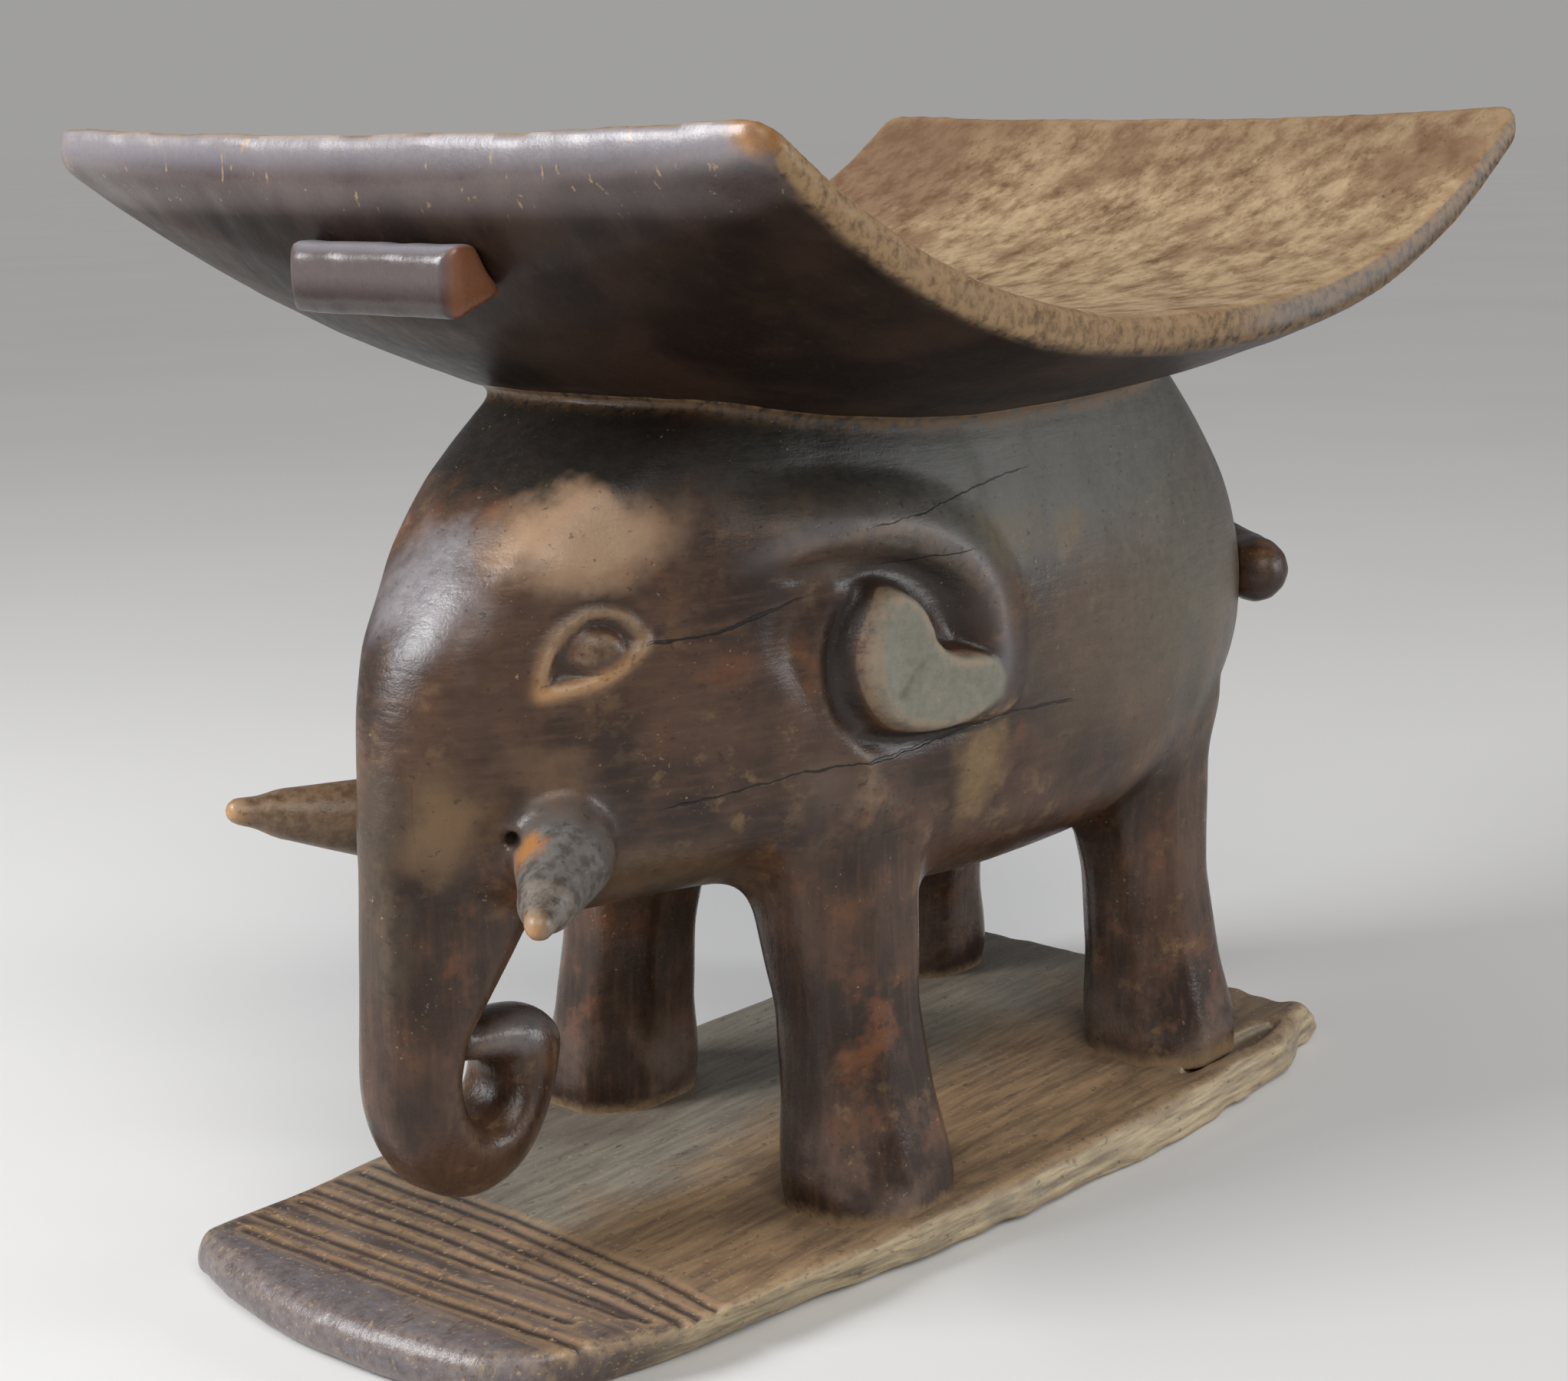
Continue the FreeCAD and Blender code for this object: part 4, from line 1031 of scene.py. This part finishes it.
# The body, head, trunk, legs, ears, eyes and tusks, carved as one and then parted.  What the marks are for:
# edge is high on ridges and low in hollows, and the others are one on the forms that they are named after.
edge_blur = 5
seam_width = 8.0
mark_back, mark_top = 20, 300    # where the side view's marks end
mark_side_start, mark_side_end = 20, 32
field, carcass, seat_distance = carve_body()
points, quads = field.mesh(carcass)
whole = raw_object("whole", points, quads)
edge_field = blur(carcass, edge_blur)
plan = Drawing(plan_low, plan_high, plan_step)
lobe_edge = plan.inside(ear_lobe)
lobe_plan = smooth(lobe_edge, -0.5, 2.5)
# where the ear is darkened as painted shade: the lobe's side wall and the hollow inside the crest
wall = smooth(-lobe_edge, -0.5, 1.5) * (1 - smooth(-lobe_edge, 5.0, 11.0))
wall *= np.maximum(smooth(-90.0 - plan.x, 0.0, 6.0), smooth(205.0 - plan.z, 0.0, 4.0))
wall *= 1 - smooth(plan.z, 246, 258)
ear_shade_plan = np.maximum(wall, 0.55 * smooth(plan.inside(ear_floor), -7.0, 3.0) * (1 - lobe_plan))
crest_away, crest_share = plan.line_distance(ear_crest)
crest_plan = bump(crest_away, 4.5) * (1 - lobe_plan) * smooth(crest_share, 0.0, 0.2)
upper_away, lower_away = plan.line_distance(eye_upper)[0], plan.line_distance(eye_lower)[0]
plan_marks = {
    "lobe": lobe_plan,
    "crest": crest_plan,
    "deep": ear_shade_plan,
    "lids": np.maximum(0.8 * bump(upper_away, 2.2), bump(lower_away, 2.8)),
}


def mark_carving(piece):
    places = mesh_points(piece.data)
    x, y, z = places.T
    on_plan = (x > plan_low[0]) & (x < mark_back) & (z > plan_low[1]) & (z < mark_top)
    on_plan = on_plan * smooth(np.abs(y), mark_side_start, mark_side_end)
    mark(piece, "edge", field.sample(edge_field, places))
    mark(piece, "seam", smooth(seam_width - field.sample(seat_distance, places), 0.0, 7.0))
    for name, values in plan_marks.items():
        mark(piece, name, plan.read(values, x, z) * on_plan)
    on_tusk = np.zeros(len(places))
    for _, side, axis, _, _ in tusks:
        away = places - tusk_origin(side)
        reach = away @ np.array(axis)
        slim = np.linalg.norm(away - reach[:, None] * np.array(axis), axis=1)
        on_tusk = np.maximum(on_tusk, smooth(reach, -3.0, 7.0) * smooth(22.0 - slim, 0.0, 6.0))
    mark(piece, "tusk", on_tusk)


for name, cutter in make_cutters(field, carcass):
    mesh = cut(whole, cutter, "INTERSECT")
    whole.data = cut(whole, cutter, "DIFFERENCE")
    piece = linked(name + "_carved", mesh)
    bpy.data.objects.remove(cutter)
    mark_carving(piece)
    dress(piece, [name], carved_wood)
whole.name = "body_carved"
mark_carving(whole)
dress(whole, ["body"], carved_wood)


# The seat, plank, lugs and tail, each shaped on its own, in mm
incised_lines = (                # in x and y, from the far side to the near one
    ((-241.0, 84.0), (-238.0, -20.0), (-232.0, -84.0)),
    ((-229.0, 91.0), (-226.0, 0.0), (-221.6, -64.0)),
    ((-211.0, 90.0), (-209.5, 0.0), (-207.0, -76.0)),
    ((-201.0, 92.0), (-201.0, 10.0), (-204.5, -84.0)),
    ((-189.0, 93.0), (-190.5, 0.0), (-198.0, -94.0)),
    ((-179.0, 92.0), (-180.5, 10.0), (-190.5, -97.0)),
    ((-171.0, 92.0), (-173.0, 10.0), (-181.0, -99.0)),
)
line_depth, line_width, line_wander = 1.5, 1.6, 0.6
side_hollows = (                 # eaten out of the plank's left side: centre, half size
    ((-204, -107, 11), (38, 11, 7)),
    ((-120, -124, 5), (34, 9, 6)),
    ((20, -122, 16), (44, 6, 5)),
    ((150, -104, 15), (40, 7, 6)),
    ((-60, -130, 17), (30, 8, 5)),
)
splinters = ((1.9, (80, 14, 7), 31), (1.3, (34, 7, 4.5), 32), (0.7, (12, 5, 3), 33))     # depth, size, seed
plank_waves = ((0.55, (40, 30, 30), 34), (0.3, (26, 6, 12), 35))
seat_waves = ((0.35, (46, 34, 30), 21), (0.22, (26, 7, 12), 22))
soft_waves = ((0.35, (9, 9, 9), 41),)
chip_corner = (-233.0, -169.5, 421.0)
chip_facing = (-0.62, -0.45, 0.64)
chip_depth = 6.0
chip_middle, chip_reach = (-230, -165, 417), (7, 9, 9)
rim_places, rim_heights = (-197, 0, 120, 268), (16.0, 9.5, 8.0, 7.0)     # of the seat's long edges, along x
rim_start, rim_step, rim_count = -240.0, 4.0, 130
seat_band, plank_band, soft_band = 4.0, 6.0, 3.0     # how far from the surface the waves are added
field_margin, field_band = 8, 7.0


def waves(places, layers):
    return sum(depth * noise(places, size, seed) for depth, size, seed in layers)


def shape_seat(own, values):
    values = blur(values, 3)
    slope = sum(facing * (own.axis(i) - chip_corner[i]) for i, facing in enumerate(chip_facing)) + chip_depth
    values = np.maximum(values, slope.astype(np.float32))
    found, places = own.near(values, seat_band)
    values[found] -= waves(places, seat_waves)
    return values


def groove_distance(places):
    near = np.full(len(places), 1e3)
    wander = line_wander * noise(places, (30, 30, 30), 36)
    for line in incised_lines:
        corners = np.array(line)
        at = np.interp(places[:, 1], corners[::-1, 1], corners[::-1, 0])
        beyond = np.maximum(0, np.maximum(places[:, 1] - corners[0, 1], corners[-1, 1] - places[:, 1]))
        near = np.minimum(near, np.hypot(places[:, 0] - at + wander, beyond))
    return near


def shape_plank(own, values):
    values = blur(values, 2)
    found, places = own.near(values, plank_band)
    x, y, z = places.T
    side = smooth(-y, 62, 92) * smooth(x, -214, -176)
    far_side = np.clip(smooth(y, 78, 96) + smooth(x, 196, 226), 0, 1)
    ragged = waves(places, splinters)
    rise = ragged * side - 1.2 * side + 0.35 * ragged * far_side
    rise += waves(places, plank_waves)
    rise -= line_depth * bump(groove_distance(places), line_width) * (z > 9)
    values[found] -= rise.astype(np.float32)
    for centre, half in side_hollows:
        away = np.sqrt(sum(((own.axis(i) - centre[i]) / half[i]) ** 2 for i in range(3))) - 1
        values = np.maximum(values, (-away * min(half)).astype(np.float32))
    return blur(values, 1)


def shape_softly(own, values):
    values = blur(values, 4)
    found, places = own.near(values, soft_band)
    values[found] -= waves(places, soft_waves)
    return values


def mark_seat(piece, places, normals):
    x, y, z = places.T
    mark(piece, "top", smooth(normals[:, 2], 0.35, 0.7) * smooth(z, 300, 340))
    mark(piece, "end", smooth(normals[:, 0] * np.sign(x), 0.35, 0.7) * smooth(np.abs(x), 185, 215))
    slots = np.clip(((x - rim_start) / rim_step).astype(int), 0, rim_count - 1)
    level = np.zeros(rim_count)
    np.maximum.at(level, slots, np.where(np.abs(y) > 150, z, 0))
    under_rim = level[slots] - z - np.interp(x, rim_places, rim_heights)
    mark(piece, "rim", smooth(3.0 - under_rim, 0.0, 3.5))
    chipped = np.linalg.norm((places - chip_middle) / chip_reach, axis=1)
    mark(piece, "chip", smooth(-chipped, -1.5, -0.9))


def mark_plank(piece, places, normals):
    x, y, _ = places.T
    mark(piece, "split", smooth(-y, 70, 90) * smooth(0.78 - normals[:, 2], 0, 0.35) * smooth(x, -222, -190))
    on_top = smooth(normals[:, 2], 0.3, 0.7)
    groove = groove_distance(places)
    mark(piece, "line", bump(groove, 1.3) * on_top)
    mark(piece, "band", bump(groove - 3.2, 1.5) * on_top)


def mark_lug(piece, places, _):
    mark(piece, "lug", np.ones(len(places)))


for name, voxel, slot_name, material, shape, mark_more in (
    ("seat", 2.0, "seat_wood", seat_wood, shape_seat, mark_seat),
    ("plank", 1.5, "plank_wood", plank_wood, shape_plank, mark_plank),
    ("front_lug", 1.0, "seat_wood", seat_wood, shape_softly, mark_lug),
    ("rear_lug", 1.0, "seat_wood", seat_wood, shape_softly, mark_lug),
    ("tail", 1.0, "polished_wood", carved_wood, shape_softly, None),
):
    source, triangles = node_mesh(name)
    own = Field(source.min(axis=0) - field_margin, source.max(axis=0) + field_margin, voxel)
    values = shape(own, own.of(source, triangles, field_band))
    points, quads = own.mesh(values)
    piece = raw_object(name + "_shaped", points, quads)
    mark(piece, "edge", own.sample(blur(values, edge_blur), points))
    if mark_more:
        normals = np.empty(len(points) * 3, np.float32)
        piece.data.vertex_normals.foreach_get("vector", normals)
        mark_more(piece, points, normals.reshape(-1, 3))
    dress(piece, [name], material)

# Floor, light and camera, in metres
floor_size = 80
sky_colour, sky_strength = (0.8, 0.82, 0.85, 1), 0.26
backdrop_colour = (0.349, 0.346, 0.34, 1)
area_lights = (                  # name, place, what it points at, size, power, colour
    ("front", (-1.45, 0.8, 1.15), (-0.15, 0, 0.24), 0.8, 38, (0.97, 0.98, 1)),
    ("right", (1.15, -1.75, 0.75), (0, 0, 0.15), 0.6, 15, (0.95, 0.97, 1)),
)
sun_from, sun_strength, sun_angle, sun_colour = (-1.1, -1.5, 1.9), 1.35, 35, (1, 0.97, 0.93)
camera_place = (-0.7922, -0.6400, 0.4160)
camera_azimuth, camera_pitch, camera_roll = 39.873, 12.472, -0.96        # degrees
focal_pixels, image_width_pixels, sensor_width = 3351.208, 2044, 36

bpy.ops.mesh.primitive_plane_add(size=floor_size, location=(0, 0, 0))
floor = bpy.context.object
floor.name = "floor"
floor.data.materials.append(make_floor())

world = bpy.data.worlds.new("studio")
bpy.context.scene.world = world
world.use_nodes = True
sky = world.node_tree
sky.nodes["Background"].inputs["Color"].default_value = sky_colour
sky.nodes["Background"].inputs["Strength"].default_value = sky_strength
backdrop = sky.nodes.new("ShaderNodeBackground")
backdrop.inputs["Color"].default_value = backdrop_colour
backdrop.inputs["Strength"].default_value = 1
seen = sky.nodes.new("ShaderNodeLightPath")
either = sky.nodes.new("ShaderNodeMixShader")
sky.links.new(seen.outputs["Is Camera Ray"], either.inputs[0])
sky.links.new(sky.nodes["Background"].outputs[0], either.inputs[1])
sky.links.new(backdrop.outputs[0], either.inputs[2])
sky.links.new(either.outputs[0], sky.nodes["World Output"].inputs["Surface"])


def add_light(name, kind, colour, power, towards):
    data = bpy.data.lights.new(name, kind)
    data.energy = power
    data.color = colour
    lamp = linked(name, data)
    lamp.rotation_mode = "QUATERNION"
    lamp.rotation_quaternion = towards.to_track_quat("Z", "Y")
    return lamp


for name, place, target, size, power, colour in area_lights:
    lamp = add_light(name, "AREA", colour, power, Vector(place) - Vector(target))
    lamp.data.size = size
    lamp.location = place
sun = add_light("left", "SUN", sun_colour, sun_strength, Vector(sun_from))
sun.data.angle = math.radians(sun_angle)

azimuth, pitch, roll = (math.radians(angle) for angle in (camera_azimuth, camera_pitch, camera_roll))
ahead = Vector((math.cos(azimuth) * math.cos(pitch), math.sin(azimuth) * math.cos(pitch), -math.sin(pitch)))
flat_right = Vector((math.sin(azimuth), -math.cos(azimuth), 0))
flat_up = flat_right.cross(ahead)
right = flat_right * math.cos(roll) + flat_up * math.sin(roll)
up = flat_up * math.cos(roll) - flat_right * math.sin(roll)
camera_data = bpy.data.cameras.new("camera")
camera = linked("camera", camera_data)
camera.matrix_world = Matrix((*zip(right, up, -ahead, camera_place), (0, 0, 0, 1)))
camera_data.sensor_width = sensor_width
camera_data.lens = focal_pixels / image_width_pixels * sensor_width
camera_data.clip_start = 0.01
bpy.context.scene.camera = camera
bpy.context.scene.view_settings.view_transform = "Standard"
